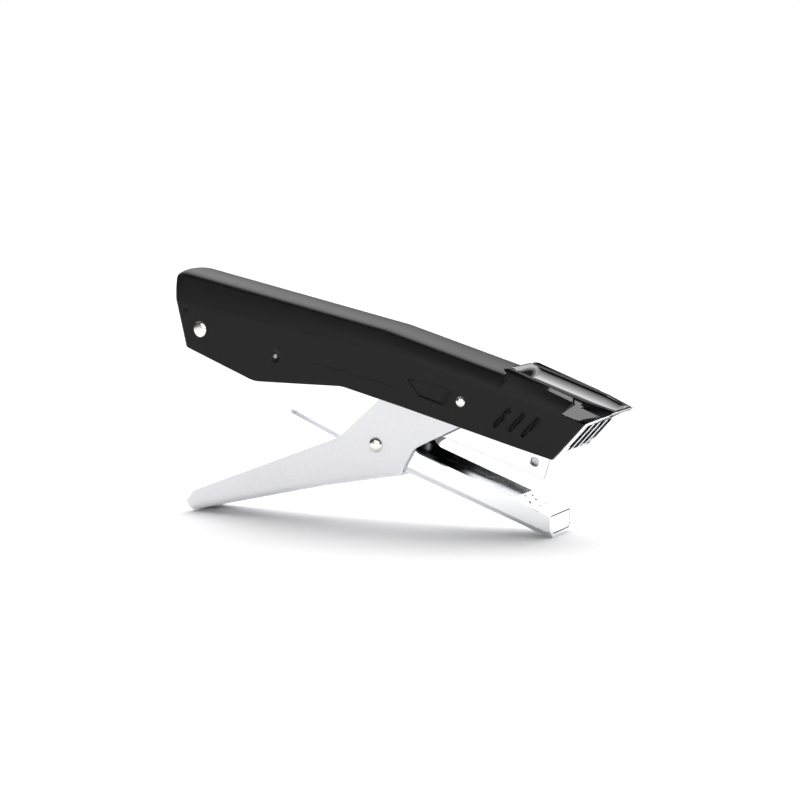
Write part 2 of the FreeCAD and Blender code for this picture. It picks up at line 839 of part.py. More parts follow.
def staple_rail():
    """The inner rail that the staples straddle, slotted along its top for the pusher."""
    outer = box("rail_outer", ("rail_rear", "-rail_width/2", "magazine_bottom + magazine_wall"),
                ("rail_front", "rail_width/2", "rail_top"))
    inner = box("rail_hollow", ("rail_rear - 1", "-rail_width/2 + rail_wall", -6),
                ("rail_front + 1", "rail_width/2 - rail_wall", "rail_top - rail_wall"))
    track = box("rail_track", ("rail_rear + 8", -1.1, "rail_top - 2"),
                ("strip_front - strip_length + 6", 1.1, "rail_top + 1"))
    keep(place_in_magazine(less("staple_rail", outer, joined("rail_cuts", [inner, track]))))


def staple_strip():
    start = "strip_front - strip_length"
    outer = box("strip_outer", (start, "-staple_crown/2", -4.6),
                ("strip_front", "staple_crown/2", "rail_top + 0.05 + staple_wire"))
    inner = box("strip_hollow", (start + " - 1", "-staple_crown/2 + staple_wire", -6),
                ("strip_front + 1", "staple_crown/2 - staple_wire", "rail_top + 0.05"))
    keep(place_in_magazine(less("staple_strip", outer, inner)))


def pusher():
    front = "strip_front - strip_length - 0.1"
    rear = front + " - pusher_length"
    saddle = box("pusher_saddle", (rear, -4.7, -4.4), (front, 4.7, 2.2))
    clear = box("pusher_clear", (rear + " - 1", "-rail_width/2 - 0.1", -6),
                (front + " + 1", "rail_width/2 + 0.1", "rail_top + 0.1"))
    web = box("pusher_web", (rear, -0.9, -1.4), (front, 0.9, 1.0))
    tongue = box("pusher_tongue", (rear, -2.6, -4.4), (front, 2.6, -0.7))
    body = joined("pusher_body", [less("pusher_shell", saddle, clear), web, tongue])
    bore = long_cylinder("pusher_bore", rear + " - 1", front + " + 1", "rod_height",
                         "rod_radius + running_gap")
    keep(place_in_magazine(less("pusher", body, bore)))
    keep(place_in_magazine(long_cylinder("pusher_rod", "rail_rear + 0.4", "rail_front - 2",
                                         "rod_height", "rod_radius")))
    stop = box("stop_block", ("rail_rear + 0.4", -3.2, -4.6), ("rail_rear + 3.4", 3.2, -0.6))
    stop_bore = long_cylinder("stop_bore", "rail_rear - 1", "rail_rear + 5", "rod_height",
                              "rod_radius")
    keep(place_in_magazine(less("spring_stop", stop, stop_bore)))
    nose = box("rod_holder_block", ("rail_front - 4", -3.2, -4.6), ("rail_front - 2", 3.2, -0.6))
    nose_bore = long_cylinder("rod_holder_bore", "rail_front - 6", "rail_front", "rod_height",
                              "rod_radius")
    keep(place_in_magazine(less("rod_holder", nose, nose_bore)))


# ---------------------------------------------------------------------------------------------
# Springs: round wire along a helix
# ---------------------------------------------------------------------------------------------

def swept(path, wire_radius):
    """Round wire swept along a path of edges."""
    first = path.Edges[0]
    start = first.valueAt(first.FirstParameter)
    direction = first.tangentAt(first.FirstParameter)
    ring_edge = Part.Circle(start, direction, wire_radius).toShape()
    return path.makePipeShell([Part.Wire(ring_edge)], True, True)


def pusher_spring():
    """The compression spring on the rod, between the stop and the pusher."""
    start = size("rail_rear + 3.5")
    length = size("strip_front - strip_length - 0.2 - pusher_length") - start - 0.1
    wire = 0.2
    helix = Part.makeHelix(2.6, length - 2 * wire, 1.3)
    spring = named(doc.addObject("Part::Feature", "pusher_spring"), "pusher_spring")
    spring.Shape = swept(helix, wire)
    local = Placement(Vector(start + wire, 0, size("rod_height")), Rotation(ACROSS, 90))
    frame = Placement(MAGAZINE_PIVOT, Rotation(ACROSS, size("magazine_slope")))
    spring.Placement = frame.multiply(local)
    keep(spring)


def torsion_spring(label, pivot, coil_radius, wire, pitch, turns, low_end, high_end):
    """A coil across the tool with one straight leg to each of two points."""
    width = pitch * turns
    helix = Part.makeHelix(pitch, width, coil_radius)
    helix.Placement = Placement(Vector(pivot.x, -width / 2, pivot.z),
                                Rotation(Vector(1, 0, 0), -90))
    ends = [helix.Edges[0].valueAt(helix.Edges[0].FirstParameter),
            helix.Edges[-1].valueAt(helix.Edges[-1].LastParameter)]
    solids = [swept(helix, wire)]
    for end, target in zip(ends, (low_end, high_end)):
        leg = Vector(target.x, end.y, target.z) - end
        solids.append(Part.makeCylinder(wire, leg.Length, end, leg))
        solids.append(Part.makeSphere(wire, end))
    spring = named(doc.addObject("Part::Feature", label), label)
    spring.Shape = solids[0].fuse(solids[1:])
    keep(spring)


def springs():
    pusher_spring()
    torsion_spring("main_spring", REAR_PIVOT, 4.6, 0.7, 1.7, 5.0,
                   Vector(-57.0, 0, 50.2), Vector(-56.0, 0, 80.5))
    torsion_spring("magazine_spring", MAGAZINE_PIVOT, 2.3, 0.4, 0.95, 6.0,
                   in_magazine(10.0, -3.9), Vector(-56.0, 0, 79.0))


# ---------------------------------------------------------------------------------------------

anvil_arm()
anvil_plate()
arm_pivots()
lower_handle()
cover()
cover_pins()
nose_liner()
driver()
loading_slide()
slide_guides()
front_grille()
magazine()
staple_rail()
staple_strip()
pusher()
springs()
doc.recompute()

for item in doc.Objects:
    if "Invalid" in item.State or "Error" in item.State:
        raise RuntimeError("%s failed: %s" % (item.Label, item.State))
os.makedirs("parts", exist_ok=True)
for item in sub_parts:
    shape = item.Shape
    if shape.isNull() or not shape.isValid():
        raise RuntimeError(item.Label + " has no valid shape")
    shape.exportStep("parts/%s.step" % item.Label)
    print("%-22s %9.1f mm3  solids %d  %s" % (item.Label, shape.Volume, len(shape.Solids),
                                              shape.BoundBox))
path, closed = pin_track()
print("lower handle turns %.3f degrees for %.1f of the cover" % (closed, size("cover_close")))
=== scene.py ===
import math

import bmesh
import bpy
from bpy.props import FloatProperty, FloatVectorProperty, IntProperty, PointerProperty
from mathutils import Matrix, Vector


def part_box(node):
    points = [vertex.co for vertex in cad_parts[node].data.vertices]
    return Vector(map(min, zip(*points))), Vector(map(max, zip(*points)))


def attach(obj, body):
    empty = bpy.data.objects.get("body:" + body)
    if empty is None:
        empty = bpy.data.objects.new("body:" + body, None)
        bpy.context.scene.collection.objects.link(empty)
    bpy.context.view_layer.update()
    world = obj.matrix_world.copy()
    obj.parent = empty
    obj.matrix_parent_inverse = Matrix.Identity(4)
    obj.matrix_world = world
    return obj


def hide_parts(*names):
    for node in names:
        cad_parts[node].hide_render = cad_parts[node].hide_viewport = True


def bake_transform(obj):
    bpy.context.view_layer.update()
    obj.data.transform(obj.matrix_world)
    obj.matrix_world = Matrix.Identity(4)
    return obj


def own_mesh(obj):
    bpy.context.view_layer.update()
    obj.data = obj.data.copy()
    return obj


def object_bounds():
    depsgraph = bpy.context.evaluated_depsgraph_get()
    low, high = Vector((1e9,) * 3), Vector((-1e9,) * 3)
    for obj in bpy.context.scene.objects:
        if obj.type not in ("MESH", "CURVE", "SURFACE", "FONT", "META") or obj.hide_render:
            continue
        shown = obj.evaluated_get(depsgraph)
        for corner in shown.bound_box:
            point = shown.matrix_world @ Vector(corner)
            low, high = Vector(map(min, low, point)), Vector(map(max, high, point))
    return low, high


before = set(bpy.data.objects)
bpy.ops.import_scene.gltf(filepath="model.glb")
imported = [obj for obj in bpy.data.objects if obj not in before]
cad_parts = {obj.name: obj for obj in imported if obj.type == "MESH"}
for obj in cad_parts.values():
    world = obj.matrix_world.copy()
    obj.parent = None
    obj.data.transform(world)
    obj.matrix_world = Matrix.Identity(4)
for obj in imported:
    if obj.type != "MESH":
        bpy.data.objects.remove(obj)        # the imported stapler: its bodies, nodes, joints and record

bl_info = {
    "name": "Plier Stapler",
    "version": (1, 0, 0),
    "blender": (4, 5, 0),
    "location": "View3D > Sidebar > Stapler",
    "description": "Builds the sheet metal, fittings and finishes of a plier stapler",
    "category": "Object",
}

# Side views are written in millimetres, X towards the jaws and Z up, and become metres when a
# piece is made. Near and far halves mirror each other across the tool's middle plane.

MM = 0.001
CAD_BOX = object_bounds()


def box_mm(node):
    """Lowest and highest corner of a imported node, in millimetres."""
    low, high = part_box(node)
    return low / MM, high / MM


def middle(node):
    low, high = box_mm(node)
    return (low + high) / 2


REAR_PIVOT = middle("rear_pivot_rivet")
MAGAZINE_PIN = middle("magazine_pivot_pin")
COVER_HALF = box_mm("cover")[1].y
HANDLE_HALF = box_mm("lower_handle")[1].y
ARM_HALF = box_mm("anvil_arm")[1].y
MAGAZINE_SLOPE = math.radians(18.7)
PLATE_SLOPE = math.tan(math.radians(21.7))
PLATE_LOW, PLATE_HIGH = box_mm("anvil_plate")

# ---------------------------------------------------------------------------------------------
# Side views
# ---------------------------------------------------------------------------------------------

COVER_REAR = -90.9
BAND_REAR = -90.2
COVER_TOP = [(-95.0, 96.3), (3.0, 71.8), (50.0, 56.4)]
COVER_BOTTOM = [(-86.5, 64.8), (-54.0, 51.6, 14.0), (-15.0, 50.4, 12.0), (9.0, 43.9, 40.0),
                (57.7, 30.0)]
BAND_FOOT = [(-95.0, 83.4), (-66.9, 77.4), (11.9, 60.5), (71.0, 42.6)]
SEAM_TOP = (75.0, 46.4)
SEAM_KNEE = (71.0, 42.6)
NOSE_LOW = (67.3, 27.4)
NOSE_KNEE = (79.3, 39.6)
SKIRT_REAR = (52.2, 56.3)
MOUTH_REAR = 50.0
SIDE_LINE = [(-28.5, 58.9), (11.4, 49.3)]

HANDLE_TOP = [(-91.0, 4.0), (-87.0, 8.4, 2.2), (-18.0, 31.8, 16.0), (9.0, 53.2, 9.0),
              (38.5, 52.2)]
HANDLE_BOTTOM = [(-91.0, 4.0), (-90.6, 0.0, 0.8), (-28.0, 12.8, 120.0), (6.0, 18.3),
                 (7.6, 20.3), (13.0, 28.6, 6.0), (38.5, 40.2)]
HANDLE_CREASE = [(-91.0, 4.6), (-89.1, 5.6), (7.1, 21.2)]
HANDLE_WEB_END = 6.0

ARM_TOP = [(-86.6, 64.5), (-85.2, 78.2, 6.0), (-70.5, 78.2, 6.0), (-69.0, 66.0, 6.0),
           (-57.0, 57.6, 5.0), (-48.0, 53.6), (-14.0, 53.0), (3.0, 52.0, 3.0), (7.0, 36.0),
           (13.0, 27.2, 8.0)]
ARM_BOTTOM = [(-86.6, 64.5), (-84.5, 58.6), (-14.0, 27.4, 60.0), (62.8, 0.0), (64.6, 0.0)]
ARM_CREASE_RISE = [(-86.6, 0.0), (-83.3, 2.6), (8.1, 2.9), (45.9, 2.4), (64.6, 2.3)]


# ---------------------------------------------------------------------------------------------
# Settings
# ---------------------------------------------------------------------------------------------

def length(name, description, default):
    return FloatProperty(name=name, description=description, default=default * MM,
                         unit="LENGTH", precision=5)


def colour(name, description, default):
    return FloatVectorProperty(name=name, description=description, default=default,
                               subtype="COLOR", size=3, min=0.0, max=1.0)


def share(name, description, default):
    return FloatProperty(name=name, description=description, default=default,
                         min=0.0, max=1.0, subtype="FACTOR")


class STAPLER_PG_cover(bpy.types.PropertyGroup):
    wall: length("Wall", "Thickness of the drawn steel", 1.2)
    lean: length("Band lean", "How far the upper band leans in towards the crown", 1.7)
    crown_rear: length("Crown at the rear", "Height of the domed crown at its rear end", 2.7)
    crown_front: length("Crown in front", "Height of the domed crown at the slide", 1.9)
    crease: length("Crease", "Depth of the pressed line under the crown", 0.5)
    rear_round: length("Rear round", "Rounding of the upright rear edges", 2.6)
    rear_drop: length("Rear drop", "Rounding where the crown turns down at the rear", 5.9)
    grip_depth: length("Grip depth", "Depth of the three finger grooves", 0.95)
    grip_width: length("Grip width", "Half width of a finger groove", 0.88)
    panel_depth: length("Panel depth", "Depth of the plain side panel", 0.55)


class STAPLER_PG_handle(bpy.types.PropertyGroup):
    wall: length("Wall", "Thickness of the handle's sheet", 1.2)
    tuck: length("Tuck", "How far the rounded lower edge turns in", 3.4)


class STAPLER_PG_arm(bpy.types.PropertyGroup):
    wall: length("Wall", "Thickness of the arm's sheet", 1.2)
    chamfer: length("Chamfer", "How far the folded lower edge turns in", 2.2)
    plate: length("Plate", "Thickness of the clincher plate", 1.3)
    dish_depth: length("Dish depth", "Depth of the clincher's looped grooves", 0.3)


class STAPLER_PG_slide(bpy.types.PropertyGroup):
    wall: length("Wall", "Thickness of the slide's shell", 0.9)
    rail_inset: length("Rail inset", "How far the rails stand in from the cover's side", 1.3)
    tip_half: length("Tip half width", "Half width of the beak at its tip", 6.9)
    trough_half: length("Trough half width", "Half width of the thumb trough", 7.4)
    trough_depth: length("Trough depth", "Depth of the thumb trough", 2.4)


class STAPLER_PG_fittings(bpy.types.PropertyGroup):
    edge: length("Edge", "Rounding of the small fittings' edges", 0.16)
    folded_edge: length("Folded edge", "Rounding of the folded chrome pieces' edges", 0.35)
    staple_pitch: length("Staple pitch", "Thickness of one staple's wire", 0.5)
    wire_sides: IntProperty(name="Wire sides", description="Facets round a spring wire",
                            default=10, min=6, max=24)


class STAPLER_PG_finishes(bpy.types.PropertyGroup):
    black_paint: colour("Black paint", "Satin black of the cover", (0.004, 0.004, 0.0045))
    black_gloss: colour("Black gloss", "Gloss black of the slide", (0.004, 0.004, 0.005))
    worn_edge: colour("Worn edge", "Rubbed paint on the edges", (0.05, 0.05, 0.052))
    silver_paint: colour("Silver paint", "Paint of the lower handle", (0.90, 0.90, 0.935))
    chrome: colour("Chrome", "Bright plating", (0.88, 0.885, 0.90))
    nickel: colour("Nickel", "Rivets and pins", (0.80, 0.785, 0.75))
    zinc: colour("Zinc", "Inner steel fittings", (0.60, 0.62, 0.64))
    spring_steel: colour("Spring steel", "Springs and blade", (0.36, 0.36, 0.37))
    staple: colour("Staple wire", "Staples", (0.72, 0.73, 0.75))
    nylon: colour("Nylon", "Pusher", (0.014, 0.014, 0.015))
    wear: share("Wear", "Amount of rubbing and smudges", 0.5)


class STAPLER_PG_studio(bpy.types.PropertyGroup):
    floor: colour("Floor", "Pale floor", (0.93, 0.93, 0.935))
    azimuth: FloatProperty(name="Azimuth", description="Camera's turn round the stapler",
                           default=math.radians(31.6), subtype="ANGLE")
    elevation: FloatProperty(name="Elevation", description="Camera's height angle",
                             default=math.radians(6.54), subtype="ANGLE")
    roll: FloatProperty(name="Roll", description="Camera's tilt about its own line of sight",
                        default=math.radians(-2.43), subtype="ANGLE")
    distance: FloatProperty(name="Distance", description="Camera's distance",
                            default=0.5366, unit="LENGTH")
    lens: FloatProperty(name="Lens", description="Focal length in millimetres", default=67.25)


SETTINGS = {
    "cover": STAPLER_PG_cover,
    "handle": STAPLER_PG_handle,
    "arm": STAPLER_PG_arm,
    "slide": STAPLER_PG_slide,
    "fittings": STAPLER_PG_fittings,
    "finishes": STAPLER_PG_finishes,
    "studio": STAPLER_PG_studio,
}


def settings(name):
    return getattr(bpy.context.scene, "stapler_" + name)


def mm(name, field):
    """A length setting, in millimetres."""
    return getattr(settings(name), field) / MM


# ---------------------------------------------------------------------------------------------
# Shader building
# ---------------------------------------------------------------------------------------------

FINISH_PREFIX = "stapler_"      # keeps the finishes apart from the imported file's plain colours


class Value:
    """A shader socket. Arithmetic on it adds Math nodes to its tree."""

    def __init__(self, shade, socket):
        self.shade = shade
        self.socket = socket

    def beside(self, name):
        """Another output of the same node."""
        return Value(self.shade, self.socket.node.outputs[name])

    def __add__(self, other):
        return self.shade.maths("ADD", self, other)

    def __sub__(self, other):
        return self.shade.maths("SUBTRACT", self, other)

    def __rsub__(self, other):
        return self.shade.maths("SUBTRACT", other, self)

    def __mul__(self, other):
        return self.shade.maths("MULTIPLY", self, other)

    __radd__ = __add__
    __rmul__ = __mul__


class Tree:
    """A node tree that Python expressions add to."""

    def __init__(self, tree):
        self.tree = tree

    def node(self, kind, settings=None, inputs=None, output=0):
        """Add a node: its settings first, then the values or links of its sockets."""
        made = self.tree.nodes.new(kind)
        for key, value in (settings or {}).items():
            setattr(made, key, value)
        for key, value in (inputs or {}).items():
            self.feed(made.inputs[key], value)
        return Value(self, made.outputs[output])

    def feed(self, socket, value):
        if isinstance(value, Value):
            self.tree.links.new(value.socket, socket)
        else:
            socket.default_value = value

    def maths(self, operation, *values):
        return self.node("ShaderNodeMath", {"operation": operation},
                         dict(enumerate(values)))

    def ramp(self, value, low, high):
        """0 below low, 1 above high, straight between."""
        return self.node("ShaderNodeMapRange", {"clamp": True},
                         {"Value": value, "From Min": low, "From Max": high})


class Shade(Tree):
    """One procedural finish: a Principled shader and the nodes that feed it."""

    def __init__(self, name, **numbers):
        self.material = bpy.data.materials.new(FINISH_PREFIX + name)
        self.material.use_nodes = True
        super().__init__(self.material.node_tree)
        self.shader = self.tree.nodes["Principled BSDF"]
        for socket, number in numbers.items():
            self.shader.inputs[socket.replace("_", " ")].default_value = number

    def set(self, socket, value):
        self.feed(self.shader.inputs[socket], value)

    def place(self, stretch=(1.0, 1.0, 1.0)):
        """Coordinates on the piece, in metres, squeezed along some axes."""
        spot = self.node("ShaderNodeTexCoord", output="Object")
        return self.node("ShaderNodeVectorMath", {"operation": "MULTIPLY"},
                         {0: spot, 1: stretch})

    def noise(self, scale, detail=2.0, stretch=(1.0, 1.0, 1.0)):
        return self.node("ShaderNodeTexNoise", {},
                         {"Vector": self.place(stretch), "Scale": scale, "Detail": detail})

    def cells(self, scale, output="Distance"):
        return self.node("ShaderNodeTexVoronoi", {},
                         {"Vector": self.place(), "Scale": scale}, output)

    def edges(self, low, high):
        """1 on the outside edges of the piece, 0 on its flats."""
        return self.ramp(self.node("ShaderNodeNewGeometry", output="Pointiness"), low, high)

    def mix(self, factor, low, high):
        low, high = (tone if isinstance(tone, Value) else (*tone, 1.0) for tone in (low, high))
        return self.node("ShaderNodeMix", {"data_type": "RGBA"}, {0: factor, 6: low, 7: high}, 2)

    def bump(self, height, depth, strength=1.0):
        """Raise the surface by a share of a depth in metres."""
        self.set("Normal", self.node("ShaderNodeBump", {},
                                     {"Height": height, "Distance": depth,
                                      "Strength": strength}))


def tinted(tone, gain):
    return tuple(min(1.0, part * gain) for part in tone)


def satin_black_steel(tones):
    """Stoved satin paint: fine orange peel, rubbed edges and faint handling marks."""
    shade = Shade("satin_black_steel", Specular_IOR_Level=0.2)
    peel = shade.noise(2600.0, 2.0)
    cloud = shade.noise(70.0, 4.0)
    fine = shade.noise(5200.0, 1.0)
    rub = shade.edges(0.54, 0.62) * shade.ramp(shade.noise(420.0, 5.0), 0.5, 0.7) * tones.wear
    base = shade.mix(cloud, tones.black_paint, tinted(tones.black_paint, 1.5))
    shade.set("Base Color", shade.mix(rub, base, tones.worn_edge))
    shade.set("Roughness", 0.40 + 0.08 * cloud - 0.08 * rub)
    shade.bump(peel * 0.7 + fine * 0.3, 0.00003, 0.35)
    return shade.material


RAIL_INNER = (0.0073, 0.0075)       # the rails' inner and outer borders, across the slide
RAIL_OUTER = (0.01034, 0.0104)


def gloss_black(tones):
    """Lacquer, clear-coated except on the two rails beside the trough, with faint scratches."""
    shade = Shade("gloss_black", Specular_IOR_Level=0.06)
    across = shade.maths("ABSOLUTE", shade.node(
        "ShaderNodeSeparateXYZ", {}, {0: shade.place()}, "Y"))
    rail = shade.ramp(across, *RAIL_INNER) - shade.ramp(across, *RAIL_OUTER)
    smudge = shade.ramp(shade.noise(130.0, 5.0), 0.45, 0.75)
    hair = shade.ramp(shade.noise(900.0, 3.0, (0.06, 1.0, 1.0)), 0.62, 0.72)
    shade.set("Base Color", shade.mix(smudge, tones.black_gloss, tinted(tones.black_gloss, 2.0)))
    shade.set("Roughness", 0.1 + 0.2 * rail + (0.06 * smudge + 0.1 * hair) * tones.wear)
    shade.set("Coat Weight", 1.0 - rail)
    shade.bump(hair, 0.000006, 0.2)
    return shade.material


def plated(name, tone, rough, grain, tones):
    """Bright plating over rolled sheet: faint rolling lines, haze and fine pits."""
    shade = Shade(name, Metallic=1.0)
    lines = shade.noise(grain, 3.0, (0.05, 1.0, 1.0))
    haze = shade.ramp(shade.noise(90.0, 5.0), 0.4, 0.75)
    pits = shade.ramp(shade.cells(1500.0), 0.0, 0.14)
    shade.set("Base Color", shade.mix(haze, tone, tinted(tone, 0.95)))
    shade.set("Roughness", rough + (0.10 * haze + 0.05 * lines) * tones.wear
              + 0.06 * (1 - pits))
    shade.bump(lines * 0.6 + pits * 0.4, 0.000012, 0.25)
    return shade.material


def bright_chrome(tones):
    return plated("bright_chrome", tones.chrome, 0.07, 700.0, tones)


def nickel(tones):
    return plated("nickel", tones.nickel, 0.2, 1600.0, tones)


def silver_paint(tones):
    """Metallic paint: tiny bright flakes under a soft, slightly rippled lacquer."""
    shade = Shade("silver_paint", Specular_IOR_Level=0.45)
    flakes = shade.ramp(shade.cells(5200.0, "Color"), 0.2, 0.95)
    cloud = shade.noise(40.0, 3.0)
    rub = shade.edges(0.53, 0.6) * shade.ramp(shade.noise(500.0, 4.0), 0.5, 0.75) * tones.wear
    paint = shade.mix(flakes, tinted(tones.silver_paint, 0.93), tinted(tones.silver_paint, 1.06))
    shade.set("Base Color", shade.mix(rub, paint, tones.chrome))
    shade.set("Metallic", 0.22 + 0.25 * rub)
    shade.set("Roughness", 0.4 + 0.1 * cloud - 0.06 * flakes)
    shade.bump(shade.noise(1900.0, 2.0) + flakes * 0.2, 0.00002, 0.22)
    return shade.material


def zinc_steel(tones):
    """Zinc plate on the inner fittings: a dull patchwork of crystals."""
    shade = Shade("zinc_steel", Metallic=1.0)
    crystal = shade.cells(620.0, "Color")
    grain = shade.noise(2400.0, 2.0)
    spangle = shade.ramp(crystal, 0.1, 0.9)
    shade.set("Base Color", shade.mix(spangle, tinted(tones.zinc, 0.86), tones.zinc))
    shade.set("Roughness", 0.28 + 0.12 * spangle + 0.06 * grain)
    shade.bump(grain, 0.00001, 0.3)
    return shade.material


def spring_steel(tones):
    """Drawn wire and hardened strip: dark, with fine lines along it."""
    shade = Shade("spring_steel", Metallic=1.0)
    drawn = shade.noise(2600.0, 3.0)
    stain = shade.ramp(shade.noise(160.0, 4.0), 0.4, 0.7)
    shade.set("Base Color", shade.mix(stain, tones.spring_steel, tinted(tones.spring_steel, 0.7)))
    shade.set("Roughness", 0.24 + 0.14 * drawn)
    shade.bump(drawn, 0.00001, 0.3)
    return shade.material


def staple_wire(tones):
    """Galvanised wire held in a strip by clear glue."""
    shade = Shade("staple_wire", Metallic=1.0)
    glue = shade.ramp(shade.noise(350.0, 4.0), 0.45, 0.65)
    shade.set("Base Color", shade.mix(glue, tones.staple, tinted(tones.staple, 0.85)))
    shade.set("Roughness", 0.22 + 0.2 * glue)
    shade.bump(shade.noise(3000.0, 2.0, (1.0, 0.1, 0.1)), 0.00001, 0.3)
    return shade.material


def black_nylon(tones):
    """Moulded nylon with a spark-eroded grain."""
    shade = Shade("black_nylon", Specular_IOR_Level=0.4)
    grain = shade.noise(1800.0, 3.0)
    shade.set("Base Color", shade.mix(grain, tones.nylon, tinted(tones.nylon, 1.8)))
    shade.set("Roughness", 0.45 + 0.15 * grain)
    shade.bump(grain, 0.00004, 0.5)
    return shade.material


FINISHES = {finish.__name__: finish for finish in (
    satin_black_steel, gloss_black, bright_chrome, nickel, silver_paint, zinc_steel,
    spring_steel, staple_wire, black_nylon)}


def finish_of(slot):
    """The slot's material, made the first time that it is asked for."""
    return bpy.data.materials.get(FINISH_PREFIX + slot) or FINISHES[slot](settings("finishes"))


# ---------------------------------------------------------------------------------------------
# Side-view geometry
# ---------------------------------------------------------------------------------------------

def lerp(start, stop, part):
    return start + (stop - start) * part


def between(start, stop, part):
    """A point between two points of a side view."""
    return Vector((lerp(start[0], stop[0], part), lerp(start[1], stop[1], part)))


def smooth(part):
    """0 to 1 with level ends."""
    part = max(0.0, min(1.0, part))
    return part * part * (3 - 2 * part)


def fillet(distance, radius):
    """How far a rounded edge has fallen back, at a distance in from the end."""
    inside = max(0.0, radius - max(0.0, distance))
    return radius - math.sqrt(radius * radius - inside * inside)


def rounded(corners, steps=10):
    """An open path through (x, z) or (x, z, radius) corners, with its corners rounded."""
    points = [Vector(corner[:2]) for corner in corners]
    path = [points[0]]
    for index in range(1, len(points) - 1):
        here = points[index]
        if len(corners[index]) == 2:
            path.append(here)
            continue
        back = (points[index - 1] - here).normalized()
        ahead = (points[index + 1] - here).normalized()
        half = math.acos(max(-1.0, min(1.0, back.dot(ahead)))) / 2
        setback = corners[index][2] / math.tan(half)
        start = here + back * setback
        stop = here + ahead * setback
        for step in range(steps + 1):
            part = step / steps
            path.append(start.lerp(here, part).lerp(here.lerp(stop, part), part))
    path.append(points[-1])
    return path


def height_at(path, x):
    """Height of a path that runs forward in X."""
    for start, stop in zip(path, path[1:]):
        if x <= stop[0]:
            return lerp(start[1], stop[1], (x - start[0]) / max(stop[0] - start[0], 1e-9))
    return path[-1][1]


def stations(start, stop, spacing, fine_ranges=(), fine=0.4, ends=()):
    """Places along X, closer together where there is detail."""
    places = set(ends) | {start, stop}
    x = start
    while x < stop:
        places.add(x)
        close = any(low <= x <= high for low, high in fine_ranges)
        x += fine if close else spacing
    return sorted(place for place in places if start <= place <= stop)


# ---------------------------------------------------------------------------------------------
# Piece making
# ---------------------------------------------------------------------------------------------

def add_grid(mesh, rows, wrap=False):
    """Join rows of points into quads. Returns the rows of vertices."""
    grid = [[mesh.verts.new(point) for point in row] for row in rows]
    for row, following in zip(grid, grid[1:]):
        count = len(row)
        for index in range(count if wrap else count - 1):
            beside = (index + 1) % count
            mesh.faces.new((row[index], row[beside], following[beside], following[index]))
    return grid


def add_both_sides(mesh, rows):
    """A patch on the near side, and its mirror image on the far side."""
    add_grid(mesh, rows)
    add_grid(mesh, [[(x, -y, z) for x, y, z in row] for row in rows])


def circle(count):
    """Cosine and sine of evenly spaced angles."""
    angles = [2 * math.pi * step / count for step in range(count)]
    return [(math.cos(angle), math.sin(angle)) for angle in angles]


def add_turned(mesh, centre, profile, steps=48):
    """A solid turned about a line across the tool, from (radius, y) pairs."""
    rings = [[(centre.x + radius * cosine, across, centre.z + radius * sine)
              for cosine, sine in circle(steps)] for radius, across in profile]
    add_grid(mesh, rings, wrap=True)


def add_wire(mesh, points, radius, sides):
    """Round wire along a path, with domed ends."""
    points = [Vector(point) for point in points]
    tangent = (points[1] - points[0]).normalized()
    side = tangent.orthogonal().normalized()
    rings = []
    last = len(points) - 1
    for index, point in enumerate(points):
        ahead = points[min(index + 1, last)] - points[max(index - 1, 0)]
        turn = tangent.rotation_difference(ahead.normalized())
        side.rotate(turn)
        tangent = ahead.normalized()
        other = tangent.cross(side)
        scales = [(0.0, 1.0)]
        if index == 0:
            scales = [(-1.0, 0.02), (-0.7, 0.7), (0.0, 1.0)]
        if index == last:
            scales = [(0.0, 1.0), (0.7, 0.7), (1.0, 0.02)]
        for ahead_by, size in scales:
            rings.append([point + (tangent * ahead_by + (side * cosine + other * sine) * size)
                          * radius for cosine, sine in circle(sides)])
    add_grid(mesh, rings, wrap=True)


def edge_modifiers(piece, width, segments=2, degrees=38.0):
    """Round the sharp edges a little and keep the flats flat."""
    bevel = piece.modifiers.new("Edges", "BEVEL")
    bevel.width = width
    bevel.segments = segments
    bevel.limit_method = "ANGLE"
    bevel.angle_limit = math.radians(degrees)
    bevel.harden_normals = True
    bevel.use_clamp_overlap = True


def face_outward(mesh, centre):
    """Turn each connected patch of faces so that it looks away from a point."""
    waiting = set(mesh.faces)
    while waiting:
        patch = [waiting.pop()]
        for face in patch:
            for edge in face.edges:
                beside = [other for other in edge.link_faces if other in waiting]
                waiting.difference_update(beside)
                patch.extend(beside)
        away = sum((face.calc_center_median() - centre).dot(face.normal) * face.calc_area()
                   for face in patch)
        if away < 0:
            bmesh.ops.reverse_faces(mesh, faces=patch)


def make_piece(name, mesh, body, slot, replaces=(), wall=0.0, edge=0.0, sharp=38.0,
               outward=None, even=True):
    """Turn a mesh in millimetres into a piece that rides on a body.

    outward is a point that every patch of faces has to look away from."""
    bmesh.ops.remove_doubles(mesh, verts=mesh.verts, dist=0.004)
    bmesh.ops.dissolve_degenerate(mesh, edges=mesh.edges, dist=0.002)
    bmesh.ops.recalc_face_normals(mesh, faces=mesh.faces)
    if outward is not None:
        face_outward(mesh, outward)
    for face in mesh.faces:
        face.smooth = True
    for edge_line in mesh.edges:
        if len(edge_line.link_faces) == 2:
            edge_line.smooth = edge_line.calc_face_angle(0.0) < math.radians(sharp)
    bmesh.ops.scale(mesh, vec=(MM, MM, MM), verts=mesh.verts)
    data = bpy.data.meshes.new(name)
    mesh.to_mesh(data)
    mesh.free()
    piece = bpy.data.objects.new(name, data)
    bpy.context.scene.collection.objects.link(piece)
    data.materials.append(finish_of(slot))
    if wall:
        shell = piece.modifiers.new("Wall", "SOLIDIFY")
        shell.thickness = wall * MM
        shell.offset = -1.0
        shell.use_even_offset = even
    if edge:
        edge_modifiers(piece, edge * MM)
    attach(piece, body)
    if replaces:
        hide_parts(*replaces)
    return piece


def mirrored(points):
    """A row of points from the near side to the middle, and on to the far side."""
    far = [(x, -y, z) for x, y, z in reversed(points)]
    if abs(points[-1][1]) < 1e-6:
        far = far[1:]
    return points + far


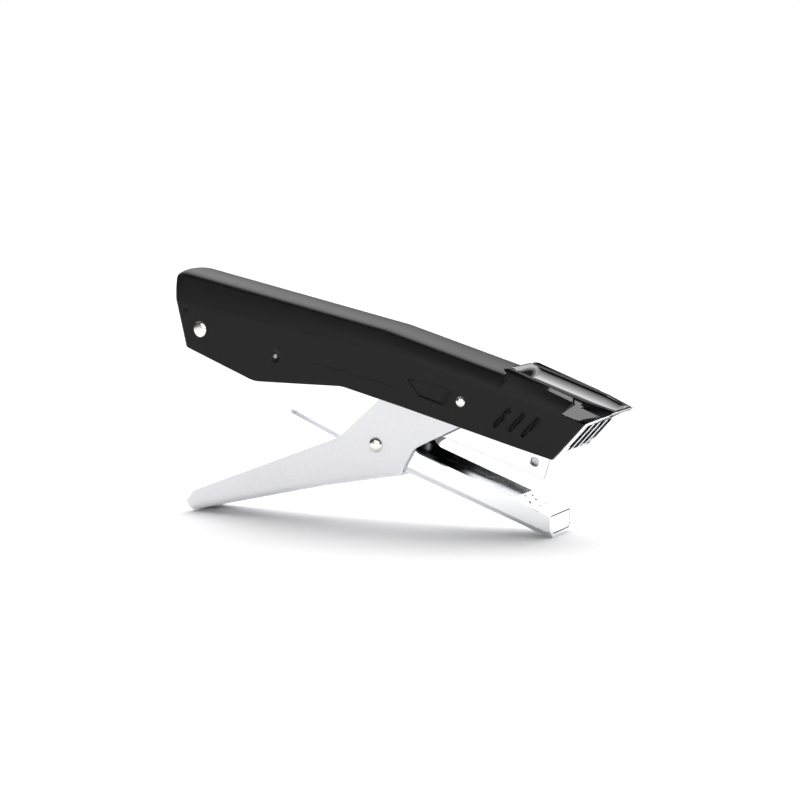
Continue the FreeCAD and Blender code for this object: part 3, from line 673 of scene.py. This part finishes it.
class StaplerOperator:
    """What the stapler's operators share."""

    bl_options = {"REGISTER", "UNDO"}

    def execute(self, context):
        self.build()
        return {"FINISHED"}


# ---------------------------------------------------------------------------------------------
# Cover
# ---------------------------------------------------------------------------------------------

GRIPS = [((51.9, 43.7), (46.4, 38.4)), ((57.2, 42.1), (52.0, 37.1)), ((62.4, 40.6), (56.7, 35.4))]
PANEL = [(12.4, 53.8), (29.8, 50.3), (26.0, 44.9), (17.0, 47.8)]
PUNCH = (-84.8, 78.9, 0.75, 0.4)
DETAIL_RANGES = [(-87.0, -83.0), (-47.5, -40.5), (9.0, 33.0), (50.0, 75.0)]


def line_distance(x, z, start, stop):
    """Distance from a line between two points."""
    along = Vector(stop) - Vector(start)
    spot = Vector((x, z)) - Vector(start)
    part = max(0.0, min(1.0, spot.dot(along) / along.length_squared))
    return (spot - along * part).length


def panel_inset(x, z):
    """Distance in from the side panel's nearest edge, negative outside."""
    inset = 1e9
    for start, stop in zip(PANEL, PANEL[1:] + PANEL[:1]):
        run = (Vector(stop) - Vector(start)).normalized()
        inset = min(inset, run.x * -(z - start[1]) + run.y * (x - start[0]))
    return inset


def stamped(x, z, sizes):
    """Depth of the pressed details at a place on the cover's cheek."""
    depth = 0.0
    for start, stop in GRIPS:
        gap = line_distance(x, z, start, stop)
        depth = max(depth, sizes["grip"] * smooth(1.15 - gap / sizes["grip_width"]))
    depth = max(depth, sizes["panel"] * smooth(panel_inset(x, z) / 0.7 + 0.5))
    for centre_x, centre_z, radius, deep in (PUNCH, (MAGAZINE_PIN.x, MAGAZINE_PIN.z, 2.0, 0.45)):
        gap = math.hypot(x - centre_x, z - centre_z)
        depth = max(depth, deep * smooth((radius - gap) / 0.6 + 0.5))
    return depth


def build_cover():
    mesh = bmesh.new()
    half = COVER_HALF
    lean = mm("cover", "lean")
    crease = mm("cover", "crease")
    corner = mm("cover", "rear_round")
    drop = mm("cover", "rear_drop")
    sizes = {"grip": mm("cover", "grip_depth"), "grip_width": mm("cover", "grip_width"),
             "panel": mm("cover", "panel_depth")}
    bottom = rounded(COVER_BOTTOM)
    rear = COVER_REAR
    cheek_rows, band_rows, arch_steps, nose_steps = 46, 9, 14, 14

    def crown(x):
        return height_at(COVER_TOP, x) - fillet(x - rear, drop)

    def rise(x):
        """Height of the domed crown over the pressed line."""
        return lerp(mm("cover", "crown_rear"), mm("cover", "crown_front"),
                    (x - rear) / (MOUTH_REAR - rear))

    def seam(x):
        """The pressed line under the crown, then the edge that the slide's skirt covers."""
        if x <= MOUTH_REAR:
            return crown(x) - rise(x)
        return height_at([(MOUTH_REAR, crown(MOUTH_REAR) - rise(MOUTH_REAR)), SKIRT_REAR,
                          SEAM_TOP], x)

    rear_steps = [rear + drop * (1 - math.cos(math.radians(step))) for step in range(0, 91, 8)]
    places = stations(rear, SEAM_TOP[0], 1.5, DETAIL_RANGES, 0.42, rear_steps + [MOUTH_REAR])
    rows = []
    crown_rows = []
    for place in places:
        part = (place - rear) / (SEAM_TOP[0] - rear)
        foot_x = lerp(COVER_BOTTOM[0][0], COVER_BOTTOM[-1][0], part)
        band_x = lerp(BAND_REAR, SEAM_KNEE[0], part)
        foot = (foot_x, height_at(bottom, foot_x) + fillet(place - rear, 1.5) * 0.5)
        band = (band_x, height_at(BAND_FOOT, band_x))
        top = (place, seam(place))
        tuck = fillet(place - rear, corner)
        row = []
        for step in range(cheek_rows + 1):
            share_up = step / cheek_rows
            x = lerp(foot[0], band[0], share_up)
            z = lerp(foot[1], band[1], share_up)
            row.append((x, -half + tuck + stamped(x, z, sizes), z))
        for step in range(1, band_rows + 1):
            share_up = step / band_rows
            inward = lean * (share_up - 0.14 * math.sin(math.pi * share_up))
            row.append((lerp(band[0], top[0], share_up), -half + tuck + inward,
                        lerp(band[1], top[1], share_up)))
        if place <= MOUTH_REAR:
            side = half - lean - tuck
            peak = crown(place)
            row.append((place, -side + crease, top[1] + 0.14))
            row.append((place, -side + crease, top[1] + 0.38))
            for step in range(arch_steps + 1):
                angle = math.pi / 2 * step / arch_steps
                row.append((place, (0.05 - side) * math.cos(angle),
                            lerp(top[1] + 0.5, peak, math.sin(angle))))
            crown_rows.append(mirrored(row))
        rows.append(row)
    split = len(crown_rows)
    add_grid(mesh, crown_rows)
    low_count = cheek_rows + band_rows + 1
    front = [row[:low_count] for row in rows[split - 1:]]
    nose = []
    last = rows[-1][:cheek_rows + 1]
    for step in range(nose_steps + 1):
        part = step / nose_steps
        foot = between(COVER_BOTTOM[-1], NOSE_LOW, part)
        head = between(SEAM_KNEE, NOSE_KNEE, part)
        column = []
        for index in range(cheek_rows + 1):
            spot = foot.lerp(head, index / cheek_rows)
            column.append((spot.x, -half + stamped(spot.x, spot.y, sizes), spot.y))
        nose.append(last if step == 0 else column)
    for patch in (front, nose):
        add_both_sides(mesh, patch)
    close_rear(mesh, crown_rows[0])
    make_piece("cover_shell", mesh, "cover", "satin_black_steel", ("cover",),
               wall=mm("cover", "wall"), edge=0.14, sharp=50.0, outward=Vector((0, 0, 55)),
               even=False)


def close_rear(mesh, row):
    """The rear wall, from its lower opening up to the crown."""
    wall_foot = 74.0
    near = [point for point in row[:len(row) // 2 + 1] if point[2] >= wall_foot]
    steps = 6
    rows = []
    for x, y, z in near:
        rows.append([(x, lerp(y, -y, step / steps), z) for step in range(steps + 1)])
    add_grid(mesh, rows)


class STAPLER_OT_cover(StaplerOperator, bpy.types.Operator):
    """Press the cover with its leaning upper band, finger grooves and plain side panel"""

    bl_idname = "stapler.cover"
    bl_label = "Cover"

    def build(self):
        build_cover()
        for side, name in ((-1, "near_side_line"), (1, "far_side_line")):
            build_side_line(side, name)


def build_side_line(side, name):
    """A slim raised line along the cheek in front of the side panel."""
    mesh = bmesh.new()
    rows = []
    start, stop = Vector(SIDE_LINE[0]), Vector(SIDE_LINE[1])
    run = (stop - start).normalized()
    upward = Vector((-run.y, run.x))
    count = 24
    for step in range(count + 1):
        spot = start.lerp(stop, step / count)
        taper = math.sin(math.pi * min(1.0, max(0.0, min(step, count - step) / 1.5)) / 2)
        profile = [(-0.30, -0.05), (-0.2, 0.1), (0.0, 0.15), (0.2, 0.1), (0.30, -0.05)]
        rows.append([(spot.x + upward.x * up * taper, side * (COVER_HALF + out * taper - 0.01),
                      spot.y + upward.y * up * taper) for up, out in profile])
    add_grid(mesh, rows)
    make_piece(name, mesh, "cover", "satin_black_steel", wall=0.1,
               outward=Vector((0, 0, 54)))


# ---------------------------------------------------------------------------------------------
# Lower handle and anvil arm: folded channels
# ---------------------------------------------------------------------------------------------

def channel_rows(places, top, crease, bottom, half, tuck, web_end, steps, start_angle=0.0):
    """Sections of a channel whose lower edges turn in. Beyond web_end only the cheeks go on."""
    webbed = []
    cheeks = []
    for x in places:
        high = top(x)
        low = bottom(x)
        fold = min(high, max(crease(x), low))
        row = [(x, -half, high), (x, -half, lerp(high, fold, 0.5)), (x, -half, fold)]
        if x <= web_end:
            folded = list(row)
            for step in range(1, steps + 1):
                angle = lerp(start_angle, math.pi / 2, step / steps)
                inward = tuck * (1 - math.cos(angle)) if steps > 1 else tuck
                down = math.sin(angle)
                folded.append((x, -half + inward, lerp(fold, low, down)))
            folded.append((x, -(half - tuck) * 0.5, low))
            folded.append((x, 0.0, low))
            webbed.append(mirrored(folded))
        if x >= web_end:
            line = max(crease(x), low + 0.4)
            cheeks.append([(x, -half, high), (x, -half, lerp(high, line, 0.5)),
                           (x, -half, line), (x, -half, low)])
    return webbed, cheeks


def build_handle():
    mesh = bmesh.new()
    half = HANDLE_HALF
    top = rounded(HANDLE_TOP)
    bottom = rounded(HANDLE_BOTTOM)
    places = stations(-90.98, 38.5, 2.0, [(-91.0, -84.0), (-24.0, 16.0)], 0.5,
                      [-90.8, -90.6, HANDLE_WEB_END, 7.6])
    webbed, cheeks = channel_rows(
        places, lambda x: height_at(top, x), lambda x: height_at(HANDLE_CREASE, x),
        lambda x: height_at(bottom, x), half, mm("handle", "tuck"), HANDLE_WEB_END, 8, 0.22)
    add_grid(mesh, webbed)
    add_both_sides(mesh, cheeks)
    make_piece("lower_handle_shell", mesh, "handle", "silver_paint", ("lower_handle",),
               wall=mm("handle", "wall"), edge=0.18, outward=Vector((-30, 0, 30)))


def plate_top(x):
    """Height of the clincher plate's face."""
    return PLATE_HIGH.z - (x - PLATE_LOW.x) * PLATE_SLOPE


def build_arm():
    mesh = bmesh.new()
    half = ARM_HALF
    top = rounded(ARM_TOP + [(PLATE_LOW.x - 1.0, plate_top(PLATE_LOW.x - 1.0)),
                             (64.6, plate_top(64.6))])
    bottom = rounded(ARM_BOTTOM)
    places = stations(-86.58, 64.4, 2.0, [(-87.0, -68.0), (0.0, 16.0)], 0.6,
                      [-85.2, 62.8])
    webbed, _ = channel_rows(
        places, lambda x: height_at(top, x),
        lambda x: height_at(bottom, x) + height_at(ARM_CREASE_RISE, x),
        lambda x: height_at(bottom, x), half, mm("arm", "chamfer"), 99.0, 1)
    add_grid(mesh, webbed)
    make_piece("anvil_arm_channel", mesh, "arm", "bright_chrome", ("anvil_arm",),
               wall=mm("arm", "wall"), edge=0.25, sharp=20.0, outward=Vector((-10, 0, 45)))


# Rings on the clincher plate: middle (x, y), then half length and half width.
LOOPS = [(56.1, -2.35, 1.35, 1.75), (56.1, 2.35, 1.35, 1.75)]
OVAL_RIM = (52.3, 0.0, 0.8, 2.3)
OVAL_RIM_HEIGHT = 0.2
TABS = [(51.4, 53.2), (56.6, 60.6)]
TAB_DEEP = 1.35
PLATE_FRONT = 64.2


def on_ring(x, y, ring):
    """Nearly 1 on a ring, falling to 0 on both sides of it."""
    centre_x, centre_y, long, across = ring
    reach = math.hypot((x - centre_x) / long, (y - centre_y) / across)
    return math.exp(-((reach - 0.95) / 0.3) ** 2)


def dish_depth(x, y):
    """Depth of the clincher's two loops, less the oval rim behind them."""
    loops = sum(on_ring(x, y, loop) for loop in LOOPS)
    return mm("arm", "dish_depth") * loops - OVAL_RIM_HEIGHT * on_ring(x, y, OVAL_RIM)


def build_plate():
    mesh = bmesh.new()
    front = PLATE_FRONT
    flap_foot, corner = 1.5, 3.1
    path = rounded([(PLATE_LOW.x, PLATE_HIGH.z), (front, plate_top(front), 0.9),
                    (front + 0.1, flap_foot)], 6)
    fine = []
    for start, stop in zip(path, path[1:]):
        count = max(1, round((stop - start).length / 0.25))
        fine.extend(start.lerp(stop, step / count) for step in range(count))
    fine.append(path[-1])
    half = ARM_HALF - mm("arm", "wall") - 0.05
    count = 56
    rows = []
    for spot in fine:
        row = []
        narrow = max(0.0, corner - spot.y) * 0.8
        for step in range(count + 1):
            y = lerp(-half + narrow, half - narrow, step / count)
            fall = dish_depth(spot.x, y) if spot.x < front - 1.5 else 0.0
            row.append((spot.x, y, spot.y - fall))
        rows.append(row)
    add_grid(mesh, rows)
    make_piece("clincher_plate", mesh, "arm", "bright_chrome", ("anvil_plate",),
               wall=mm("arm", "plate"), edge=0.15, outward=Vector((56, 0, 2)))
    for number, (start, stop) in enumerate(TABS):
        for side in (-1, 1):
            build_tab(number, side, start, stop)


def build_tab(number, side, start, stop):
    """One of the plate's tabs, pressed through the arm's wall."""
    mesh = bmesh.new()
    inner = side * (ARM_HALF - 1.4)
    outer = side * ARM_HALF
    rows = []
    for y in (inner, lerp(inner, outer, 0.97), outer + side * 0.05):
        shrink = 0.12 if y == outer + side * 0.05 else 0.0
        rows.append([(start + shrink, y, plate_top(start) + 0.05 - shrink),
                     (stop - shrink, y, plate_top(stop) + 0.05 - shrink),
                     (stop - shrink, y, plate_top(stop) - TAB_DEEP + shrink),
                     (start + shrink, y, plate_top(start) - TAB_DEEP + shrink)])
    grid = add_grid(mesh, rows, wrap=True)
    mesh.faces.new(grid[0])
    mesh.faces.new(grid[-1])
    side_name = "near" if side < 0 else "far"
    make_piece("plate_tab_%s_%d" % (side_name, number), mesh, "arm", "bright_chrome",
               sharp=30.0, outward=Vector(((start + stop) / 2, side * (ARM_HALF - 0.7),
                                           plate_top((start + stop) / 2) - 0.6)))


class STAPLER_OT_channels(StaplerOperator, bpy.types.Operator):
    """Fold the lower handle and the anvil arm, and fit the clincher plate"""

    bl_idname = "stapler.channels"
    bl_label = "Handle and arm"

    def build(self):
        build_handle()
        build_arm()
        build_plate()


# ---------------------------------------------------------------------------------------------
# Loading slide
# ---------------------------------------------------------------------------------------------

SLIDE_TOP = [(50.4, 57.7), (88.9, 43.3)]
SLIDE_REAR = 50.5
SLIDE_TIP = 88.7
BEAK_ROOT = 79.0
LIP_MIDDLE, LIP_HALF, LIP_RISE = 51.9, 1.1, 0.5
TROUGH_REAR = 53.2
SKIRT_FOOT = [(SLIDE_REAR, 56.9), (52.4, 56.5), (75.6, 46.75)]
SKIRT_TOP = [(SLIDE_REAR, 57.6), (52.4, 57.5), (76.0, 48.0)]
FACET_REAR_TOP = (75.9, 45.9)
FACET_FRONT_TOP = (84.2, 42.2)
FACET_FRONT_LOW = (80.4, 39.95)
FACET_REAR_LOW = (71.35, 42.85)


def beak_half(x, root_half, tip_half):
    """Half width of the slide, which narrows towards the tip of its beak."""
    part = max(0.0, (x - BEAK_ROOT) / (SLIDE_TIP - BEAK_ROOT))
    return lerp(root_half, tip_half, part)


def slide_height(x, y):
    """Top of the slide: the rolled rear lip, the rails and the thumb trough between them."""
    z = height_at(SLIDE_TOP, x)
    across = abs(y)
    lip = math.exp(-((x - LIP_MIDDLE) / LIP_HALF) ** 2) * smooth((8.8 - across) / 2.0)
    start = smooth((x - TROUGH_REAR) / 2.6)
    finish = smooth((SLIDE_TIP - 0.3 - x) / 4.0)
    half = beak_half(x, mm("slide", "trough_half"), mm("slide", "trough_half") * 0.68)
    bowl = math.sqrt(max(0.0, 1.0 - (across / half) ** 2))
    return z + LIP_RISE * lip - mm("slide", "trough_depth") * start * finish * bowl


def build_slide():
    mesh = bmesh.new()
    half = COVER_HALF
    rail = half - mm("slide", "rail_inset")
    tip = mm("slide", "tip_half")
    places = stations(SLIDE_REAR, SLIDE_TIP, 0.8, [(50.0, 58.5), (84.0, 92.0)], 0.35)
    count = 64
    top_rows = []
    for x in places:
        curl = fillet(x - SLIDE_REAR, 0.7)
        reach = beak_half(x, rail, tip)
        row = []
        for step in range(count + 1):
            y = lerp(-reach, reach, step / count)
            shoulder = fillet(reach - abs(y), 0.45)
            row.append((x, y, slide_height(x, y) - curl - shoulder))
        top_rows.append(row)
    add_grid(mesh, top_rows)
    walls = []
    for x, row in zip(places, top_rows):
        if x <= FACET_REAR_TOP[0]:
            edge = Vector(row[0])
            fold = Vector((x, 0.55 - half, height_at(SKIRT_TOP, x)))
            low = Vector((x, 0.25 - half, height_at(SKIRT_FOOT, x)))
            walls.append([edge, edge.lerp(fold, 0.5), fold, fold.lerp(low, 0.5), low])
    cheek = []
    start_x = walls[-1][0][0]
    forward = [row[0] for row in top_rows if row[0][0] >= start_x]
    for index, edge in enumerate(forward):
        part = index / (len(forward) - 1)
        foot = between(FACET_REAR_LOW, FACET_FRONT_LOW, part)
        crest = between(FACET_REAR_TOP, FACET_FRONT_TOP, part)
        low = Vector((foot.x, 0.02 - half, foot.y))
        fold = Vector((crest.x, 1.0 - half, crest.y))
        column = [low.lerp(fold, step / 4) for step in range(5)]
        column += [fold.lerp(Vector(edge), step / 5) for step in range(1, 6)]
        cheek.append(column)
    for patch in (walls, cheek):
        add_both_sides(mesh, patch)
    make_piece("loading_slide_cap", mesh, "slide", "gloss_black", ("loading_slide",),
               wall=mm("slide", "wall"), edge=0.12, sharp=11.0, outward=Vector((70, 0, 45)),
               even=False)


class STAPLER_OT_slide(StaplerOperator, bpy.types.Operator):
    """Form the loading slide's thumb trough, rails, skirts and beak"""

    bl_idname = "stapler.slide"
    bl_label = "Loading slide"

    def build(self):
        build_slide()


# ---------------------------------------------------------------------------------------------
# Rivets and pins
# ---------------------------------------------------------------------------------------------

def head_profile(radius, foot, top, dome):
    """A rivet head from its middle out to its rim. dome is the rounded share of its height."""
    profile = []
    steps = 7
    for step in range(steps + 1):
        part = step / steps
        profile.append((radius * part * 0.98, top - (top - foot) * dome * part ** 3))
    profile.append((radius, lerp(top, foot, dome + 0.12)))
    profile.append((radius, foot))
    return profile


# Name, node, body, shank radius, foot of the head, head radius, rounded share, finish.
RIVETS = [
    ("rear_rivet", "rear_pivot_rivet", "arm", 2.18, COVER_HALF + 0.02, 3.0, 0.6, "nickel"),
    ("main_rivet", "main_pivot_rivet", "arm", 1.98, HANDLE_HALF + 0.02, 2.8, 0.7, "nickel"),
    ("link_rivet", "link_pin", "cover", 1.48, COVER_HALF + 0.01, 1.8, 0.7, "nickel"),
    ("magazine_pin", "magazine_pivot_pin", "cover", 1.2, COVER_HALF - 0.75, 1.28, 0.5,
     "spring_steel"),
]


def build_rivet(name, node, body, shank, foot, head_radius, dome, slot):
    """A rivet with a head on each side of the tool."""
    low, high = box_mm(node)
    mesh = bmesh.new()
    outer = head_profile(head_radius, foot, high.y, dome)
    right = outer + [(shank, foot - 0.02)]
    left = [(radius, -across) for radius, across in reversed(right)]
    add_turned(mesh, (low + high) / 2, right + left)
    make_piece(name, mesh, body, slot, (node,), sharp=45.0,
               outward=Vector(((low + high) / 2).to_tuple()))


class STAPLER_OT_rivets(StaplerOperator, bpy.types.Operator):
    """Head the three rivets and the pin that the magazine turns on"""

    bl_idname = "stapler.rivets"
    bl_label = "Rivets"

    def build(self):
        for rivet in RIVETS:
            build_rivet(*rivet)


# ---------------------------------------------------------------------------------------------
# Staples and springs
# ---------------------------------------------------------------------------------------------

def in_magazine(along, across, up):
    """A place in the magazine's own frame, as a point of the stapler's."""
    cosine, sine = math.cos(MAGAZINE_SLOPE), math.sin(MAGAZINE_SLOPE)
    return Vector((MAGAZINE_PIN.x + along * cosine + up * sine, across,
                   MAGAZINE_PIN.z - along * sine + up * cosine))


STRIP_FRONT = 111.3
STRIP_LENGTH = 26.0


def build_staples():
    """The strip of staples: each wire is a rounded step in the bent strip."""
    mesh = bmesh.new()
    pitch = mm("fittings", "staple_pitch")
    count = round(STRIP_LENGTH / pitch)
    half = 4.75
    top = 0.75
    bend = 0.5
    section = [(-half, -4.55), (-half, top - bend)]
    for step in range(1, 4):
        angle = math.pi / 2 * step / 4
        section.append((-half + bend * (1 - math.cos(angle)), top - bend * (1 - math.sin(angle))))
    section.append((-half + bend, top))
    section += [(-y, z) for y, z in reversed(section)]
    rows = []
    for number in range(count):
        for part, sink in ((0.0, 0.1), (0.25, 0.02), (0.5, 0.0), (0.75, 0.02), (0.999, 0.1)):
            along = STRIP_FRONT - STRIP_LENGTH + (number + part) * pitch
            rows.append([in_magazine(along, y * (1 - sink / half), z - sink)
                         for y, z in section])
    add_grid(mesh, rows)
    make_piece("staples", mesh, "magazine", "staple_wire", ("staple_strip",), wall=0.42,
               sharp=60.0, outward=in_magazine(98.0, 0.0, -3.0))


def coil_points(pivot, radius, width, turns, steps=20):
    """Points round a coil that lies across the tool."""
    total = round(turns * steps)
    points = []
    for step in range(total + 1):
        part = step / total
        angle = 2 * math.pi * turns * part
        points.append(Vector((pivot.x + radius * math.cos(angle), lerp(-width / 2, width / 2, part),
                              pivot.z - radius * math.sin(angle))))
    return points


def legged_coil(pivot, radius, width, turns, low_end, high_end):
    """The path of a torsion spring whose legs reach two places of the side view."""
    coil = coil_points(pivot, radius, width, turns)
    first = Vector((low_end[0], coil[0].y, low_end[1]))
    last = Vector((high_end[0], coil[-1].y, high_end[1]))
    lead_in = [first.lerp(coil[0], step / 6) for step in range(6)]
    lead_out = [coil[-1].lerp(last, step / 6) for step in range(1, 7)]
    return lead_in + coil + lead_out


def wind(name, node, body, points, wire):
    """A piece of round spring wire along a path."""
    mesh = bmesh.new()
    add_wire(mesh, points, wire, settings("fittings").wire_sides)
    return make_piece(name, mesh, body, "spring_steel", (node,), sharp=80.0)


PUSHER_SPRING = (15.7, 75.0)        # where it starts and ends along the magazine
PUSHER_TURNS = 23
PUSHER_COIL_RADIUS = 1.3
PUSHER_ROD_DROP = -2.6


def build_springs():
    path = legged_coil(REAR_PIVOT, 4.6, 8.4, 5.0, (-57.0, 50.4), (-56.0, 80.3))
    spring = wind("main_coil", "main_spring", "arm", path, 0.68)
    spring.parent = None
    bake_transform(spring)
    foot = in_magazine(10.0, 0.0, -3.9)
    path = legged_coil(MAGAZINE_PIN, 2.3, 5.6, 6.0, (foot.x, foot.z), (-56.0, 79.0))
    spring = wind("magazine_coil", "magazine_spring", "cover", path, 0.4)
    spring.parent = None
    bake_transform(spring)
    low, high = PUSHER_SPRING
    steps = 18
    points = []
    for step in range(PUSHER_TURNS * steps + 1):
        angle = 2 * math.pi * step / steps
        points.append(in_magazine(lerp(low, high, step / (PUSHER_TURNS * steps)),
                                  PUSHER_COIL_RADIUS * math.cos(angle),
                                  PUSHER_ROD_DROP + PUSHER_COIL_RADIUS * math.sin(angle)))
    spring = wind("pusher_coil", "pusher_spring", "magazine", points, 0.2)
    axis = in_magazine(1.0, 0.0, 0.0) - in_magazine(0.0, 0.0, 0.0)
    anchor = in_magazine(low, 0.0, PUSHER_ROD_DROP) * MM
    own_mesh(spring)


class STAPLER_OT_springs(StaplerOperator, bpy.types.Operator):
    """Wind the three springs and lay the strip of staples"""

    bl_idname = "stapler.springs"
    bl_label = "Springs and staples"

    def build(self):
        build_springs()
        build_staples()


# ---------------------------------------------------------------------------------------------
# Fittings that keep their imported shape
# ---------------------------------------------------------------------------------------------

FITTINGS = {
    "magazine": ("bright_chrome", True),
    "magazine_front_plate": ("bright_chrome", True),
    "front_grille": ("bright_chrome", False),
    "nose_liner": ("zinc_steel", False),
    "driver_block": ("zinc_steel", False),
    "driver_blade": ("spring_steel", False),
    "slide_guides": ("zinc_steel", False),
    "staple_rail": ("zinc_steel", False),
    "pusher_rod": ("nickel", False),
    "spring_stop": ("zinc_steel", False),
    "rod_holder": ("zinc_steel", False),
    "pusher": ("black_nylon", False),
    "rear_pivot_bush": ("zinc_steel", False),
    "rear_washers": ("zinc_steel", False),
    "main_pivot_bush": ("zinc_steel", False),
}


class STAPLER_OT_fittings(StaplerOperator, bpy.types.Operator):
    """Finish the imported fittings: soft edges and their own plating"""

    bl_idname = "stapler.fittings"
    bl_label = "Fittings"

    def build(self):
        small = settings("fittings")
        for node, (slot, folded) in FITTINGS.items():
            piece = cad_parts[node]
            weld = piece.modifiers.new("Weld", "WELD")
            weld.merge_threshold = 0.000002
            edge_modifiers(piece, small.folded_edge if folded else small.edge,
                           segments=3 if folded else 2)
            piece.data.materials.clear()
            piece.data.materials.append(finish_of(slot))


# ---------------------------------------------------------------------------------------------
# Studio
# ---------------------------------------------------------------------------------------------

FLOOR_RADII = (0.0, 0.4, 1.6, 12.0)


def stage_floor():
    """A wide round floor, plain and pale."""
    mesh = bmesh.new()
    rings = [[(radius * cosine, radius * sine, 0.0) for cosine, sine in circle(64)]
             for radius in FLOOR_RADII]
    add_grid(mesh, rings, wrap=True)
    bmesh.ops.remove_doubles(mesh, verts=mesh.verts, dist=1e-5)
    for face in mesh.faces:
        face.smooth = True
    data = bpy.data.meshes.new("studio_floor")
    mesh.to_mesh(data)
    mesh.free()
    floor = bpy.data.objects.new("studio_floor", data)
    floor.location.z = CAD_BOX[0].z - 0.0002
    bpy.context.scene.collection.objects.link(floor)
    shade = Shade("studio_floor", Specular_IOR_Level=0.1)
    tone = settings("studio").floor
    paper = shade.noise(25.0, 3.0)
    shade.set("Base Color", shade.mix(paper, tinted(tone, 0.99), tone))
    shade.set("Roughness", 0.8 + 0.1 * paper)
    data.materials.append(shade.material)


GLOW = 3.05         # strength of the tent's glowing part, above and behind the stapler
GLOOM = 0.05        # strength of the rest of it
GLOW_HEIGHTS = (0.36, 0.50)         # where the glow sets in and is full, upwards
GLOW_DEPTHS = (-0.35, 0.25)         # the same from front to back
KEY_PLACE, KEY_SIZE, KEY_POWER = (-0.16, -1.0, 0.27), (0.75, 0.24), 2.9
CAMERA_TARGET = (0.0022, 0.0, 0.0445)


def studio_world():
    """A dark tent with a glowing panel above and behind. Seen directly, it is plain white."""
    world = bpy.context.scene.world or bpy.data.worlds.new("studio")
    bpy.context.scene.world = world
    world.use_nodes = True
    sky = Tree(world.node_tree)
    direction = sky.node("ShaderNodeTexCoord")
    parts = sky.node("ShaderNodeSeparateXYZ", {}, {0: direction})
    raised = sky.ramp(parts.beside("Z"), *GLOW_HEIGHTS)
    behind = sky.ramp(parts.beside("Y"), *GLOW_DEPTHS)
    seen = sky.node("ShaderNodeLightPath", output="Is Camera Ray")
    strength = GLOOM + GLOW * raised * behind
    background = sky.tree.nodes["Background"]
    background.inputs["Color"].default_value = (1.0, 1.0, 1.0, 1.0)
    sky.feed(background.inputs["Strength"], strength + seen * (1.0 - strength))


def softbox(name, place, size, power, target=(0.0, 0.0, 0.05)):
    light = bpy.data.lights.new(name, "AREA")
    light.shape = "RECTANGLE"
    light.size, light.size_y = size
    light.energy = power
    lamp = bpy.data.objects.new(name, light)
    lamp.location = place
    towards = Vector(target) - Vector(place)
    lamp.rotation_euler = towards.to_track_quat("-Z", "Y").to_euler()
    lamp.visible_camera = False
    bpy.context.scene.collection.objects.link(lamp)


def studio_camera():
    view = settings("studio")
    azimuth, elevation, roll = view.azimuth, view.elevation, view.roll
    back = Vector((math.sin(azimuth) * math.cos(elevation),
                   -math.cos(azimuth) * math.cos(elevation), math.sin(elevation)))
    level = Vector((math.cos(azimuth), math.sin(azimuth), 0.0))
    raised = back.cross(level)
    right = level * math.cos(roll) + raised * math.sin(roll)
    up = raised * math.cos(roll) - level * math.sin(roll)
    data = bpy.data.cameras.new("camera")
    data.sensor_width = 36.0
    data.lens = view.lens
    data.clip_start = 0.01
    data.clip_end = 20.0
    camera = bpy.data.objects.new("camera", data)
    axes = Matrix((right, up, back)).transposed().to_4x4()
    camera.matrix_world = Matrix.Translation(Vector(CAMERA_TARGET) + back * view.distance) @ axes
    bpy.context.scene.collection.objects.link(camera)
    bpy.context.scene.camera = camera


class STAPLER_OT_studio(StaplerOperator, bpy.types.Operator):
    """Lay the pale floor, hang the soft lights and place the camera"""

    bl_idname = "stapler.studio"
    bl_label = "Studio"

    def build(self):
        stage_floor()
        studio_world()
        bpy.context.scene.view_settings.view_transform = "Standard"
        softbox("key_softbox", KEY_PLACE, KEY_SIZE, KEY_POWER)
        studio_camera()


# ---------------------------------------------------------------------------------------------
# Add-on
# ---------------------------------------------------------------------------------------------

OPERATORS = (
    STAPLER_OT_cover,
    STAPLER_OT_channels,
    STAPLER_OT_slide,
    STAPLER_OT_rivets,
    STAPLER_OT_springs,
    STAPLER_OT_fittings,
    STAPLER_OT_studio,
)


class STAPLER_PT_panel(bpy.types.Panel):
    """The stapler's settings and the steps that build it"""

    bl_idname = "STAPLER_PT_panel"
    bl_label = "Plier Stapler"
    bl_space_type = "VIEW_3D"
    bl_region_type = "UI"
    bl_category = "Stapler"

    def draw(self, context):
        for name, group in SETTINGS.items():
            box = self.layout.box()
            box.label(text=name.capitalize())
            for field in group.__annotations__:
                box.prop(settings(name), field)
        for operator in OPERATORS:
            self.layout.operator(operator.bl_idname)


def register():
    for group in SETTINGS.values():
        bpy.utils.register_class(group)
    for name, group in SETTINGS.items():
        setattr(bpy.types.Scene, "stapler_" + name, PointerProperty(type=group))
    for item in (*OPERATORS, STAPLER_PT_panel):
        bpy.utils.register_class(item)


def unregister():
    for item in (STAPLER_PT_panel, *reversed(OPERATORS)):
        bpy.utils.unregister_class(item)
    for name in SETTINGS:
        delattr(bpy.types.Scene, "stapler_" + name)
    for group in reversed(list(SETTINGS.values())):
        bpy.utils.unregister_class(group)


def main():
    register()
    for operator in OPERATORS:
        group, call = operator.bl_idname.split(".")
        getattr(getattr(bpy.ops, group), call)()


if __name__ == "__main__":
    main()
